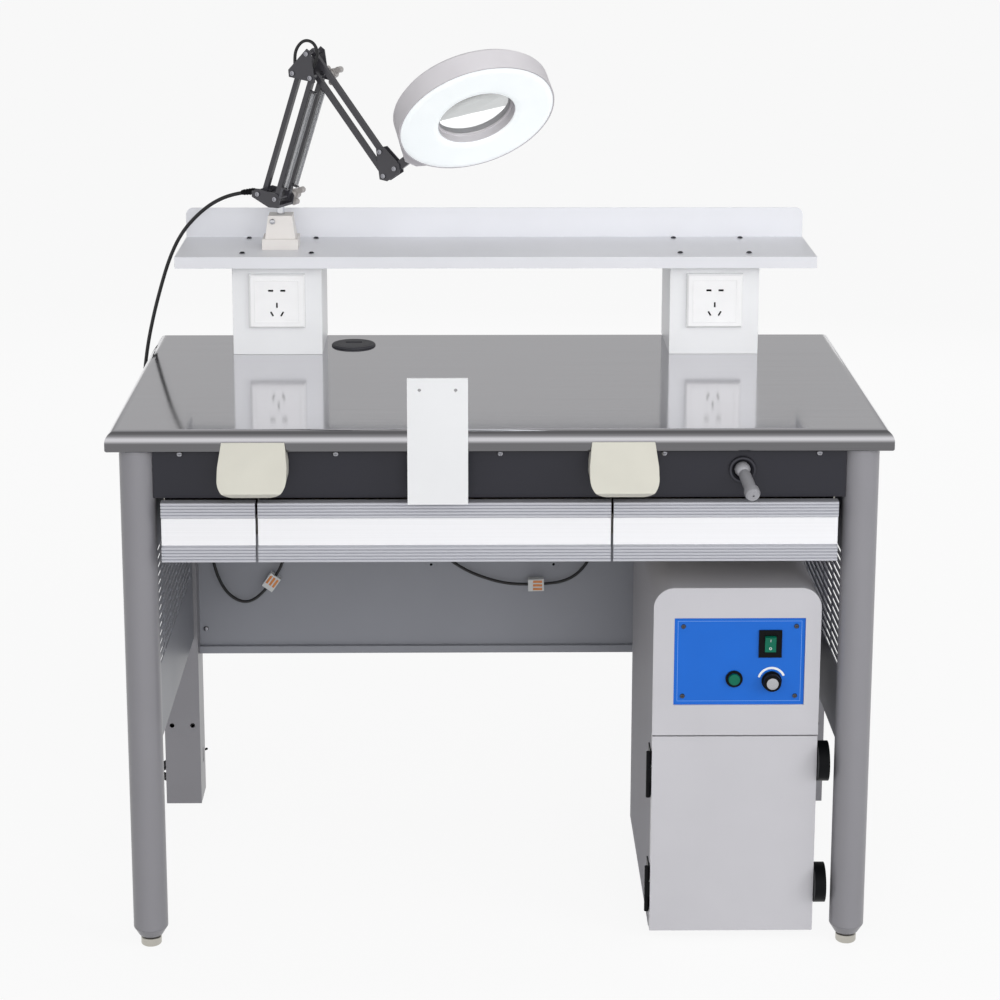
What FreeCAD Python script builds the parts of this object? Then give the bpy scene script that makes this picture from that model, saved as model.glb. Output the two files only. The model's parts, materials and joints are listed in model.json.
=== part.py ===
# Dental laboratory bench: a stainless worktop on a steel frame with three drawers, arm rests, an air gun,
# a socket shelf with a ring magnifier lamp, and a dust collector standing under the right end.
# The origin is on the floor at the middle of the bench, X along its width, Y to its back, Z up.
import FreeCAD, Part
import math
import os
import re

import Sketcher
from FreeCAD import Placement, Rotation, Vector

# Driving dimensions in millimetres and degrees
SIZES = {
    # Worktop
    "worktop_width": 1100, "worktop_depth": 650, "worktop_height": 780,
    "edge_height": 30, "edge_round": 17, "edge_under": 4, "edge_wrap": 14, "top_sheet": 2,
    "grommet_edge": 323, "grommet_back": 93, "grommet_hole": 30, "grommet_flange": 35,
    "grommet_lip": 3.5, "grommet_wall": 2.5, "grommet_depth": 24, "grommet_play": 0.2,
    "cable_slot_wide": 26, "cable_slot_deep": 9,
    # Legs, panels and rails
    "leg_edge": 41, "leg_radius": 25, "leg_wall": 2, "leg_inset": 31, "leg_play": 0.1,
    "foot_radius": 15, "foot_height": 16, "plug_height": 13, "plug_nose": 17,
    "rear_leg_front": 554, "rear_leg_wide": 58, "rear_leg_deep": 70, "rear_leg_edge": 4, "rear_leg_wall": 2,
    "leg_hole": 4, "leg_hole_height": 137, "leg_hole_inset": 12, "leg_slot_low": 58, "leg_slot_high": 83,
    "leg_slot_wide": 9,
    "panel_sheet": 1.5, "side_panel_low": 290, "side_panel_shift": 15,
    "slot_low": 402, "slot_head": 166, "slot_pitch": 13, "slot_high": 6, "slot_long": 80, "slot_bridge": 7.5,
    "slot_margin": 30,
    "back_panel_at": 594, "back_panel_low": 252, "hem_high": 12, "hem_deep": 10,
    "wire_hole": 6, "wire_hole_high": 402, "wire_hole_left": 105, "wire_hole_right": 97,
    "rail_height": 30, "rail_depth": 24, "rear_rail_depth": 6,
    # Apron and drawers
    "apron_setback": 18, "apron_sheet": 2, "apron_height": 70, "apron_tuck": 2, "leg_gap": 9,
    "drawer_height": 87, "drawer_gap": 3.5, "drawer_clear": 3, "drawer_setback": 2, "drawer_thick": 17,
    "left_drawer": 132, "right_drawer": 316,
    "rib_zone": 22.5, "rib_pitch": 4.5, "rib_wide": 2.7, "rib_deep": 1.6, "finger_deep": 5,
    "tray_wall": 1.5, "tray_lift": 8, "tray_height": 70, "tray_depth": 450,
    "cheek_sheet": 2, "cheek_depth": 456, "cheek_drop": 22,
    "runner_wide": 11, "runner_high": 30, "runner_wall": 1.5, "runner_play": 0.4, "runner_low": 28,
    "runner_long": 434, "tongue_front": 6,
    # Arm rests, work plate and air gun
    "armrest_reach": 50, "armrest_wide": 96, "armrest_left_edge": 206, "armrest_right": 171.5,
    "armrest_drop": 15, "armrest_gap": 20, "armrest_lip": 7, "armrest_round": 24, "armrest_play": 1,
    "armrest_top": 88, "armrest_shoulder": 38,
    "plate_wide": 84, "plate_high": 180, "plate_sheet": 3, "plate_x": 87, "plate_out": 22, "plate_clear": 4,
    "plate_hole": 2.5, "plate_hole_apart": 50, "plate_hole_down": 17,
    "bracket_wide": 50, "bracket_high": 50, "bracket_lift": 9, "bracket_wall": 2,
    "gun_edge": 210, "gun_down": 30, "gun_turn": 10.7, "gun_dip": 23.6, "gun_long": 60,
    "gun_ball": 11, "gun_neck": 7, "gun_barrel": 8.5, "gun_collar": 10.8, "gun_bore": 1.6, "gun_play": 0.4,
    "gun_pin": 1.5, "gun_pin_out": 0.2,
    "bush_flange": 19, "bush_lip": 4, "bush_sleeve": 14, "bush_depth": 10, "bush_mouth": 15.5,
    # Pedestals, sockets and shelf
    "pedestal_edge": 207, "pedestal_wide": 140, "pedestal_front": 490, "pedestal_back": 648,
    "pedestal_sheet": 1.5,
    "shelf_rise": 160, "shelf_edge": 50, "shelf_front": 467, "shelf_sheet": 1.5, "shelf_lip": 18,
    "upstand_high": 48, "upstand_round": 12,
    "socket_wide": 88, "socket_high": 86, "socket_thick": 9, "socket_bevel": 3, "socket_up": 44,
    "socket_box": 64, "socket_box_deep": 36, "socket_hole_deep": 5,
    # Screws
    "screw_head": 4.5, "screw_dome": 2.6, "screw_shank": 2, "screw_shank_long": 1.4, "screw_play": 0.1,
    "screw_down": 6, "screw_clear": 10.5, "screw_outer_edge": 27,
    "shelf_screw_across": 108, "shelf_screw_front": 31, "shelf_screw_back": 165,
    # Lamp
    "lamp_edge": 210, "lamp_y": 558, "lamp_turn": 26,
    "base_wide": 57, "base_plate": 17, "base_body_low": 48, "base_body_high": 38, "base_body": 36,
    "post_radius": 6, "post_low": 20, "post_play": 0.05, "web_low": 66, "web_high": 70, "web_half": 9,
    "front_pivot_out": 3, "front_pivot_up": 80, "link_gap": 31.6, "link_drop": 11,
    "lower_arm": 205, "lower_lean": 19, "upper_arm": 188.5, "upper_dip": 51.2, "elbow_gap": 37.5,
    "elbow_lean": 9.2,
    "bar_wide": 8, "bar_end": 6, "twin_offset": 16, "pin_radius": 3, "pin_play": 0.06, "open_pin_play": 0.3,
    "cheek_plate": 2, "cheek_inner": 21, "head_cheek_inner": 5,
    "gland_radius": 4.5, "gland_reach": 46, "gland_gap": 0.8,
    "spring_wire": 1.1, "spring_radius": 3.6, "spring_turns": 48, "spring_offset": 9, "spring_inset": 22,
    "lug_thick": 2, "knob_gap": 0.2, "knob_stem": 5, "knob_stud": 14, "knob_hub": 8, "knob_lobe": 5,
    "knob_reach": 13,
    "knob_thick": 11, "base_knob_out": 36, "elbow_knob_out": 44,
    "neck_out": 22, "neck_up": -6, "neck_rise": 37, "neck_long": 165, "head_roll": 28,
    "neck_back": 8, "neck_front": 26.5, "neck_deep": 14, "spigot_radius": 6, "spigot_long": 20,
    "spigot_play": 0.05,
    "head_radius": 122, "head_high": 40, "head_wall": 2.5, "head_bevel": 6, "lens_radius": 60,
    "lens_thick": 12, "lens_edge": 3, "lens_play": 0.3, "lens_rim": 3, "lens_ledge": 2, "ledge_high": 3,
    "diffuser_crown": 2.5, "diffuser_lap": 1.5,
    "diffuser_edge": 10, "tail_gap": 0.5, "tail_narrow": 13, "tail_wide": 62, "tail_into": 17,
    "tail_half": 11,
    "loop_radius": 2.5,
    # Dust collector
    "collector_edge": 330, "collector_wide": 240, "collector_setback": 35, "collector_depth": 430,
    "collector_top": 540, "collector_foot": 12, "collector_wall": 2, "collector_round": 30,
    "fascia_low": 318, "fascia_sheet": 3, "door_gap": 2, "door_thick": 18, "door_wall": 2, "door_play": 0.5,
    "window_left": 30, "window_wide": 188, "window_low": 46, "window_high": 131, "window_ledge": 6,
    "panel_thick": 2,
    "rocker_x": 168, "rocker_up": 138, "rocker_wide": 16, "rocker_high": 23, "rocker_deep": 9,
    "rocker_play": 0.3,
    "rocker_tilt": 8, "rocker_room": 1.6, "rocker_pin": 1.2, "rocker_pin_long": 3, "frame_wide": 33,
    "frame_high": 41, "bezel_out": 3,
    "button_x": 117, "button_up": 85, "button_radius": 8.5, "button_out": 3, "button_play": 0.3,
    "button_stem": 4, "bezel_radius": 12.3,
    "dial_x": 171, "dial_up": 82, "dial_radius": 14.5, "dial_front": 12.5, "dial_deep": 14, "dial_cap": 7,
    "dial_shaft": 3, "shaft_behind": 10, "shaft_play": 0.06,
    "panel_screw_inset": 13,
    "hinge_out": 4, "hinge_in": 6, "hinge_barrel": 3.4, "hinge_pin": 2, "hinge_long": 70, "hinge_leaf": 36,
    "hinge_upper": 256, "hinge_lower": 78, "hinge_play": 0.3,
    "latch_upper": 275, "latch_lower": 86, "latch_radius": 29, "latch_thick": 16, "latch_shaft": 4,
    "latch_inset": 10, "tongue_thick": 4, "tongue_long": 24, "tongue_half": 4, "hook_long": 6, "hook_out": 7,
    "striker_near": 13, "striker_thick": 3.5, "striker_up": 5.5, "striker_high": 8, "striker_long": 14,
    "deck_height": 330, "motor_radius": 70, "motor_high": 120, "filter_radius": 85, "filter_high": 250,
    "works_back": 240, "foot_pad": 12, "foot_pad_inset": 30,
    # Wiring and lamp cord
    "wire_radius": 2.5, "wire_play": 0.1, "clip_size": 14, "clip_deep": 18, "clip_centre": 9,
    "connector_long": 26, "connector_wide": 20, "connector_thick": 14,
    "cord_radius": 3, "coil_pitch": 6.6, "coil_outer": 40, "coil_layer_turns": 1.3125, "coil_tail": 36,
    "plug_long": 40, "plug_radius": 9, "plug_pin": 2, "plug_pin_long": 18, "plug_pin_apart": 4.5,
}

# Places worked out from the sizes
PLACES = {
    "front": "(armrest_reach - worktop_depth) / 2",
    "under": "worktop_height - edge_height",
    "end": "worktop_width / 2",
    "grommet_x": "grommet_edge - end",
    "leg_x": "end - leg_edge",
    "leg_y": "front + leg_inset",
    "leg_low": "foot_height + plug_height",
    "rear_leg_out": "end - rear_leg_edge",
    "rear_leg_in": "rear_leg_out - rear_leg_wide",
    "side_panel_x": "leg_x - side_panel_shift",
    "back_panel_y": "front + back_panel_at",
    "apron_y": "front + apron_setback",
    "rail_y": "apron_y + apron_sheet",
    "rail_back": "rail_y + rail_depth",
    "apron_low": "under - apron_height",
    "apron_half": "leg_x - leg_radius + apron_tuck",
    "drawer_span": "leg_x - leg_radius - leg_gap",
    "screw_inner": "armrest_right + armrest_wide / 2 + screw_clear",
    "screw_outer": "drawer_span - screw_outer_edge",
    "drawer_top": "apron_low - drawer_clear",
    "drawer_low": "drawer_top - drawer_height",
    "drawer_face": "front + drawer_setback",
    "drawer_back": "drawer_face + drawer_thick",
    "left_split": "left_drawer + drawer_gap / 2 - drawer_span",
    "right_split": "drawer_span - right_drawer - drawer_gap / 2",
    "tray_low": "drawer_low + tray_lift",
    "runner_z": "drawer_low + runner_low",
    "armrest_left": "end - armrest_left_edge",
    "armrest_low": "drawer_top + armrest_gap",
    "armrest_high": "worktop_height - armrest_drop",
    "plate_low": "drawer_top + plate_clear",
    "plate_y": "front - plate_out",
    "gun_x": "end - gun_edge",
    "gun_z": "under - gun_down",
    "shelf_top": "worktop_height + shelf_rise",
    "shelf_under": "shelf_top - shelf_sheet",
    "shelf_y": "front + shelf_front",
    "shelf_back": "front + worktop_depth",
    "pedestal_x": "end - pedestal_edge",
    "pedestal_y": "front + pedestal_front",
    "socket_z": "shelf_top - shelf_lip - socket_up - 11",
    "lamp_x": "end - lamp_edge",
    "collector_x": "end - collector_edge",
    "collector_front": "front + collector_setback",
    "collector_right": "collector_x + collector_wide",
    "collector_back": "collector_front + collector_depth",
    "panel_face": "collector_front + fascia_sheet",
    "window_z": "fascia_low + window_low",
    "window_x": "collector_x + window_left",
    "rocker_at": "collector_x + rocker_x",
    "rocker_z": "fascia_low + rocker_up",
    "button_at": "collector_x + button_x",
    "button_z": "fascia_low + button_up",
    "dial_at": "collector_x + dial_x",
    "dial_z": "fascia_low + dial_up",
    "door_left": "collector_x + door_play",
    "door_right": "collector_right - door_play",
    "door_back": "collector_front + door_thick",
    "shell_front": "door_back + 1",
    "door_low": "collector_foot + door_gap",
    "door_top": "fascia_low - door_gap",
    "hinge_x": "collector_x - hinge_out",
    "hinge_y": "collector_front + hinge_in",
    "latch_y": "collector_front + door_thick / 2",
    "works_x": "collector_x + collector_wide / 2",
    "works_y": "collector_front + works_back",
}

doc = FreeCAD.newDocument("DentalBench")
sizes = doc.addObject("Spreadsheet::Sheet", "Sizes")
places = doc.addObject("Spreadsheet::Sheet", "Places")
reckoner = doc.addObject("Spreadsheet::Sheet", "Reckoner")


def tied(formula):
    """Point each size or place that a formula names at its sheet cell."""
    def cell(match):
        word = match.group(0)
        if word in SIZES:
            return "Sizes." + word
        if word in PLACES:
            return "Places." + word
        return word
    return re.sub(r"[a-z][a-z_0-9]*", cell, str(formula))


for row, (alias, value) in enumerate(SIZES.items(), start=1):
    sizes.set(f"A{row}", alias)
    sizes.set(f"B{row}", str(value))
    sizes.setAlias(f"B{row}", alias)
for row, (alias, formula) in enumerate(PLACES.items(), start=1):
    places.set(f"A{row}", alias)
    places.set(f"B{row}", "=" + tied(formula))
    places.setAlias(f"B{row}", alias)
doc.recompute()

parts = []
TURNS = {"x": Rotation(Vector(0, 1, 0), 90), "y": Rotation(Vector(1, 0, 0), -90), "z": Rotation()}
FACING_FRONT = Rotation(Vector(1, 0, 0), 90)


def number(formula):
    """Value of a formula of sizes and places."""
    reckoner.set("A1", "=" + tied(formula))
    reckoner.recompute()
    return float(reckoner.get("A1"))


def spot(x, y, z):
    """Point from three formulas."""
    return Vector(number(x), number(y), number(z))


def keep(part, label):
    """Name a finished sub-part, which is then written to its own file."""
    part.Label = label
    parts.append(part)
    return part


def block(name, x, y, z):
    """Box between a low and a high formula on each axis."""
    part = doc.addObject("Part::Box", name)
    for side, axis, (low, high) in zip(("Length", "Width", "Height"), "xyz", (x, y, z)):
        part.setExpression(side, tied(f"({high}) - ({low})"))
        part.setExpression(f"Placement.Base.{axis}", tied(low))
    return part


def rod(name, axis, at, ends, radius):
    """Cylinder along one axis, through two formulas on the other axes."""
    part = doc.addObject("Part::Cylinder", name)
    part.Placement = Placement(Vector(), TURNS[axis])
    part.setExpression("Radius", tied(radius))
    part.setExpression("Height", tied(f"({ends[1]}) - ({ends[0]})"))
    others = iter(at)
    for letter in "xyz":
        place = ends[0] if letter == axis else next(others)
        part.setExpression(f"Placement.Base.{letter}", tied(place))
    return part


def fuse(name, *pieces):
    part = doc.addObject("Part::MultiFuse", name)
    part.Shapes = pieces
    return part


def cut(name, base, *tools):
    part = doc.addObject("Part::Cut", name)
    part.Base = base
    part.Tool = tools[0] if len(tools) == 1 else fuse(name + "_tools", *tools)
    return part


def group(name, *pieces):
    part = doc.addObject("Part::Compound", name)
    part.Links = pieces
    return part


def feature(name, shape, placement=Placement()):
    part = doc.addObject("Part::Feature", name)
    part.Shape = shape
    part.Placement = placement
    return part


def rectangle(u, v):
    """Corners of a rectangle between two pairs of formulas."""
    return [(u[0], v[0]), (u[1], v[0]), (u[1], v[1]), (u[0], v[1])]


def sketched(body, plane, corners):
    """Closed sketch of straight lines whose corners are tied to formulas."""
    sketch = body.newObject("Sketcher::SketchObject", body.Name + "_outline")
    support = next(item for item in body.Origin.OriginFeatures if item.Role == plane)
    sketch.AttachmentSupport = [(support, "")]
    sketch.MapMode = "FlatFace"
    spots = [Vector(number(u), number(v), 0) for u, v in corners]
    for start, end in zip(spots, spots[1:] + spots[:1]):
        sketch.addGeometry(Part.LineSegment(start, end), False)
    count = len(corners)
    for line in range(count):
        sketch.addConstraint(Sketcher.Constraint("Coincident", line, 2, (line + 1) % count, 1))
    for line, (place, formulas) in enumerate(zip(spots, corners)):
        for kind, value, formula, axis in (("DistanceX", place.x, formulas[0], -2),
                                           ("DistanceY", place.y, formulas[1], -1)):
            if value == 0:
                sketch.addConstraint(Sketcher.Constraint("PointOnObject", line, 1, axis))
            else:
                index = sketch.addConstraint(Sketcher.Constraint(kind, -1, 1, line, 1, value))
                sketch.setExpression(f"Constraints[{index}]", tied(formula))
    return sketch


def extruded(name, plane, corners, ends):
    """Body padded from a sketch, between two formulas across its plane."""
    body = doc.addObject("PartDesign::Body", name)
    pad = body.newObject("PartDesign::Pad", name + "_pad")
    pad.Profile = sketched(body, plane, corners)
    pad.setExpression("Length", tied(f"({ends[1]}) - ({ends[0]})"))
    axis, start = {"XY_Plane": ("z", 0), "XZ_Plane": ("y", 1), "YZ_Plane": ("x", 0)}[plane]
    body.setExpression(f"Placement.Base.{axis}", tied(ends[start]))
    body.Tip = pad
    return body


def turned(name, corners, at=None, rotation=Rotation()):
    """Body turned about its own Z axis from a radius and height outline, set at a point of formulas."""
    body = doc.addObject("PartDesign::Body", name)
    spin = body.newObject("PartDesign::Revolution", name + "_spin")
    sketch = sketched(body, "XZ_Plane", corners)
    spin.Profile = sketch
    spin.ReferenceAxis = (sketch, ["V_Axis"])
    spin.Angle = 360
    body.Tip = spin
    body.Placement = Placement(Vector(), rotation)
    for letter, formula in zip("xyz", at or ()):
        body.setExpression(f"Placement.Base.{letter}", tied(formula))
    return body


def rounded(body, radius, chosen):
    """Round the edges of a body that a test picks."""
    doc.recompute()
    base = body.Tip
    edges = [f"Edge{index}" for index, edge in enumerate(base.Shape.Edges, start=1) if chosen(edge)]
    fillet = body.newObject("PartDesign::Fillet", body.Name + "_round")
    fillet.Base = (base, edges)
    fillet.setExpression("Radius", tied(radius))
    body.Tip = fillet
    return body


def along(edge, axis):
    """Whether an edge runs straight along an axis."""
    ends = edge.Vertexes[-1].Point - edge.Vertexes[0].Point
    return ends.Length > 0 and abs(ends.normalize().dot(axis)) > 0.999


def tube_path(points):
    """Straight runs joined by tangent arcs, each as large as its two runs allow."""
    share = 0.45
    edges = []
    radii = []
    last = points[0]
    for before, corner, after in zip(points, points[1:], points[2:]):
        inward = (before - corner).normalize()
        outward = (after - corner).normalize()
        half_turn = (math.pi - inward.getAngle(outward)) / 2
        reach = share * min(before.distanceToPoint(corner), corner.distanceToPoint(after))
        radius = reach / math.tan(half_turn)
        first = corner + inward * reach
        second = corner + outward * reach
        middle = (inward + outward).normalize()
        crown = corner + middle * (math.hypot(radius, reach) - radius)
        edges.append(Part.LineSegment(last, first).toShape())
        edges.append(Part.Arc(first, crown, second).toShape())
        radii.append(round(radius))
        last = second
    edges.append(Part.LineSegment(last, points[-1]).toShape())
    return Part.Wire(edges), radii


def piped(path, start, heading, radius):
    """Round tube along a path."""
    ring = Part.Wire([Part.makeCircle(radius, start, heading)])
    return path.makePipeShell([ring], True, False)


def cord_tube(name, points, radius):
    """Tube along a route, with its radii and its volume against its length printed."""
    path, radii = tube_path(points)
    shape = piped(path, points[0], points[1] - points[0], radius)
    share = shape.Volume / (math.pi * radius ** 2 * path.Length)
    print(f"{name}: length {path.Length:.0f}, radii {radii}, volume share {share:.4f}")
    return shape


def arc_through(start, heading, end):
    """Arc that leaves a point along a heading and reaches another."""
    chord = end - start
    line = Vector(chord).normalize()
    side = heading - line * heading.dot(line)
    if side.Length < 1e-7:
        return Part.LineSegment(start, end).toShape()
    angle = math.atan2(side.Length, heading.dot(line))
    crown = (start + end) * 0.5 + side.normalize() * (chord.Length / 2 * math.tan(angle / 2))
    return Part.Arc(start, crown, end).toShape()


def biarc(start, leaving, end, arriving):
    """Two tangent arcs between two points with their headings."""
    chord = end - start
    turn = 2 * (1 - leaving.dot(arriving))
    pull = chord.dot(leaving + arriving)
    if turn < 1e-9:
        reach = chord.dot(chord) / (2 * pull)
    else:
        reach = (math.sqrt(pull ** 2 + turn * chord.dot(chord)) - pull) / turn
    joint = (start + end + (leaving - arriving) * reach) * 0.5
    first = arc_through(start, leaving, joint)
    second = arc_through(end, arriving * -1, joint)
    second.reverse()
    return [first, second]


def wound_path(stations):
    """Biarcs through stations of a point and a heading."""
    edges = []
    for (start, leaving), (end, arriving) in zip(stations, stations[1:]):
        edges.extend(biarc(start, leaving, end, arriving))
    return edges


def least_gap(path, wire, skip):
    """Smallest distance from a wound tube to its own other turns."""
    step = wire * 0.5
    points = path.discretize(Distance=step)
    apart = int(skip / step)
    least = min((a - b).Length for i, a in enumerate(points) for b in points[i + apart:])
    return least - wire


# Worktop: a board with a stainless sheet wrapped over its rounded edges
slab = extruded(
    "worktop_slab", "XY_Plane",
    rectangle(("-worktop_width / 2", "worktop_width / 2"), ("front", "front + worktop_depth")),
    ("under", "worktop_height"))
rounded(slab, "edge_round", lambda edge: edge.BoundBox.ZMin > number("edge_height") - 0.1)
rounded(slab, "edge_under", lambda edge: edge.BoundBox.ZMax < 0.1)
BOARD = [("edge_wrap - worktop_width / 2", "worktop_width / 2 - edge_wrap"),
         ("front + edge_wrap", "front + worktop_depth - edge_wrap"),
         ("under", "worktop_height - top_sheet")]
GROMMET_AT = ("grommet_x", "front + worktop_depth - grommet_back")
hole_ends = ("under - 1", "worktop_height + 1")
keep(cut("worktop_skin", slab, block("board_room", *BOARD),
         rod("skin_hole", "z", GROMMET_AT, hole_ends, "grommet_hole")), "worktop_skin")
keep(cut("worktop_board", block("board", *BOARD),
         rod("board_hole", "z", GROMMET_AT, hole_ends, "grommet_hole")), "worktop_board")

# Cable grommet: a flanged liner in the worktop hole, closed by a slotted cap
liner = "grommet_hole - grommet_play"
bore = "grommet_hole - grommet_play - grommet_wall"
grommet_liner = turned(
    "grommet_liner",
    [(bore, "-grommet_depth"), (liner, "-grommet_depth"), (liner, "0"), ("grommet_flange", "0"),
     ("grommet_flange", "grommet_lip * 0.5"), ("grommet_flange - grommet_lip * 0.5", "grommet_lip"),
     (bore, "grommet_lip")],
    (*GROMMET_AT, "worktop_height"))
cap_disc = rod("cap_disc", "z", GROMMET_AT, ("worktop_height", "worktop_height + grommet_lip"),
               f"{bore} - grommet_play")
cap_slot = block(
    "cap_slot", ("grommet_x - cable_slot_wide / 2", "grommet_x + cable_slot_wide / 2"),
    (f"{GROMMET_AT[1]} + 4", f"{GROMMET_AT[1]} + 4 + cable_slot_deep"),
    ("worktop_height - 1", "worktop_height + grommet_lip + 1"))
keep(group("cable_grommet", grommet_liner, cut("grommet_cap", cap_disc, cap_slot)), "cable_grommet")

# Front legs: round tubes on cone plugs and levelling feet
front_legs = []
leg_feet = []
for side, x in (("left", "-leg_x"), ("right", "leg_x")):
    at = (x, "leg_y")
    front_legs.append(cut(
        "front_leg_" + side, rod("leg_tube_" + side, "z", at, ("leg_low", "under"), "leg_radius"),
        rod("leg_bore_" + side, "z", at, ("leg_low - 1", "under + 1"), "leg_radius - leg_wall")))
    leg_feet.append(turned(
        "leg_plug_" + side,
        [("0", "foot_height"), ("plug_nose", "foot_height"), ("leg_radius", "leg_low"), ("0", "leg_low")],
        (*at, "0")))
    leg_feet.append(turned(
        "levelling_foot_" + side,
        [("0", "0"), ("foot_radius - 2", "0"), ("foot_radius", "2"), ("foot_radius", "foot_height - 4"),
         ("foot_radius - 5", "foot_height"), ("0", "foot_height")],
        (*at, "0")))
keep(group("front_legs", *front_legs), "front_legs")
keep(group("leg_feet", *leg_feet), "leg_feet")

# Rear legs: box sections with two holes and a slot near the floor
rear_legs = []
for side, sign, edges in (("left", "-", ("-rear_leg_out", "-rear_leg_in")),
                          ("right", "", ("rear_leg_in", "rear_leg_out"))):
    low, high = edges
    y_low = "front + rear_leg_front"
    outer = block("rear_leg_outer_" + side, edges, (y_low, f"{y_low} + rear_leg_deep"), ("0", "under"))
    inner = block("rear_leg_inner_" + side, (f"{low} + rear_leg_wall", f"{high} - rear_leg_wall"),
                  (f"{y_low} + rear_leg_wall", f"{y_low} + rear_leg_deep - rear_leg_wall"),
                  ("rear_leg_wall", "under + 1"))
    holes = [rod(f"leg_hole_{side}_{index}", "y", (x, "leg_hole_height"),
                 (f"{y_low} - 1", f"{y_low} + rear_leg_wall + 1"), "leg_hole")
             for index, x in enumerate((f"{low} + leg_hole_inset", f"{high} - leg_hole_inset"))]
    slot_x = (f"{sign}rear_leg_in - rear_leg_wall - 1", f"{sign}rear_leg_in + rear_leg_wall + 1")
    slot_y = f"{y_low} + rear_leg_deep / 2"
    slot = block("leg_slot_" + side, slot_x, (slot_y, f"{slot_y} + leg_slot_wide"),
                 ("leg_slot_low", "leg_slot_high"))
    rear_legs.append(cut("rear_leg_" + side, outer, inner, slot, *holes))
keep(group("rear_legs", *rear_legs), "rear_legs")


# Side panels: sheets with rows of long vent slots between the front and rear legs
def side_panel(name, x, leg):
    y_low, y_high = number("leg_y"), number("front + rear_leg_front")
    z_low, z_high = number("side_panel_low"), number("under")

    def frame(y0, y1, z0, z1):
        corners = [Vector(x, y0, z0), Vector(x, y1, z0), Vector(x, y1, z1), Vector(x, y0, z1)]
        return Part.makePolygon(corners + corners[:1])

    step = number("slot_long + slot_bridge")
    first = y_low + number("leg_radius + slot_margin")
    columns = int((y_high - number("slot_margin") - first) / step)
    rows = int((number("under - slot_head - slot_low")) / number("slot_pitch"))
    slots = []
    for row in range(rows):
        z = number("slot_low") + row * number("slot_pitch")
        for column in range(columns):
            y = first + column * step
            slots.append(frame(y, y + number("slot_long"), z, z + number("slot_high")))
    holed = Part.makeFace([frame(y_low, y_high, z_low, z_high)] + slots, "Part::FaceMakerBullseye")
    sheet = holed.extrude(Vector(number("panel_sheet"), 0, 0))
    clear = Part.makeCylinder(number("leg_radius + leg_play"), z_high, Vector(leg, y_low, 0))
    return feature(name, sheet.cut(clear))


keep(group("side_panels",
           side_panel("side_panel_left", number("-side_panel_x - panel_sheet"), number("-leg_x")),
           side_panel("side_panel_right", number("side_panel_x"), number("leg_x"))), "side_panels")

# Screw places: a point and whether the head faces the front or up
APRON_SCREWS = [(x, "apron_y", "under - screw_down")
                for x in ("-screw_outer", "-screw_inner", "0", "screw_inner", "screw_outer")]
PANEL_SCREWS = [(x, "back_panel_y", z) for x in ("10 - rear_leg_in", "rear_leg_in - 10")
                for z in ("back_panel_low + 40", "under - 120")]
WINDOW_SCREWS = [(x, "panel_face", z)
                 for x in ("window_x + panel_screw_inset", "window_x + window_wide - panel_screw_inset")
                 for z in ("window_z + panel_screw_inset", "window_z + window_high - panel_screw_inset")]
SHELF_SCREWS = [(f"{sign}pedestal_x + {half}shelf_screw_across / 2", f"front + shelf_front + {y}",
                 "shelf_top")
                for sign in ("-", "") for half in ("-", "")
                for y in ("shelf_screw_front", "shelf_screw_back")]


def screw_holes(name, places_of_screws, axis, sheet):
    """Clearance holes through a sheet for a row of screws."""
    holes = []
    for index, (x, y, z) in enumerate(places_of_screws):
        at, middle = ((x, z), y) if axis == "y" else ((x, y), z)
        ends = (f"{middle} - 1", f"{middle} + {sheet} + 1") if axis == "y" else (f"{middle} - {sheet} - 1",
                                                                                 f"{middle} + 1")
        holes.append(rod(f"{name}_{index}", axis, at, ends, "screw_shank + screw_play"))
    return holes


# Back panel: a sheet between the rear legs with a hemmed bottom and two wire holes
back_sheet = block("back_sheet", ("-rear_leg_in", "rear_leg_in"),
                   ("back_panel_y", "back_panel_y + panel_sheet"),
                   ("back_panel_low", "under"))
back_hem = block("back_hem", ("-rear_leg_in", "rear_leg_in"), ("back_panel_y - hem_deep", "back_panel_y"),
                 ("back_panel_low", "back_panel_low + hem_high"))
wire_holes = [rod(f"wire_hole_{side}", "y", (x, "wire_hole_high"),
                  ("back_panel_y - 1", "back_panel_y + panel_sheet + 1"), "wire_hole")
              for side, x in (("left", "-wire_hole_left"), ("right", "wire_hole_right"))]
keep(cut("back_panel", fuse("back_folded", back_sheet, back_hem), *wire_holes,
         *screw_holes("panel_screw_hole", PANEL_SCREWS, "y", "panel_sheet")), "back_panel")

# Frame rails: the front one is coped to the legs, the rear one stands between the rear legs
front_rail = cut(
    "front_rail", block("rail_bar", ("-leg_x", "leg_x"), ("rail_y", "rail_back"),
                        ("under - rail_height", "under")),
    *[rod("rail_cope_" + side, "z", (x, "leg_y"), ("under - rail_height - 1", "under + 1"),
          "leg_radius + leg_play")
      for side, x in (("left", "-leg_x"), ("right", "leg_x"))],
    rod("rail_bush_room", "y", ("gun_x", "gun_z"), ("rail_y - 1", "rail_y + bush_depth + 4"),
        "bush_sleeve + leg_play"))
rear_rail = block("rear_rail", ("-rear_leg_in", "rear_leg_in"),
                  ("back_panel_y - rear_rail_depth", "back_panel_y"),
                  ("under - rail_height", "under"))
keep(group("frame_rails", front_rail, rear_rail), "frame_rails")

# Apron: the dark front sheet under the worktop, with the air gun's hole
apron_sheet = block("apron_plate", ("-apron_half", "apron_half"), ("apron_y", "rail_y"),
                    ("apron_low", "under"))
gun_hole = rod("gun_hole", "y", ("gun_x", "gun_z"), ("apron_y - 1", "rail_y + 1"), "bush_sleeve + leg_play")
keep(cut("apron", apron_sheet, gun_hole, *screw_holes("apron_screw_hole", APRON_SCREWS, "y",
                                                      "apron_sheet")), "apron")

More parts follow.
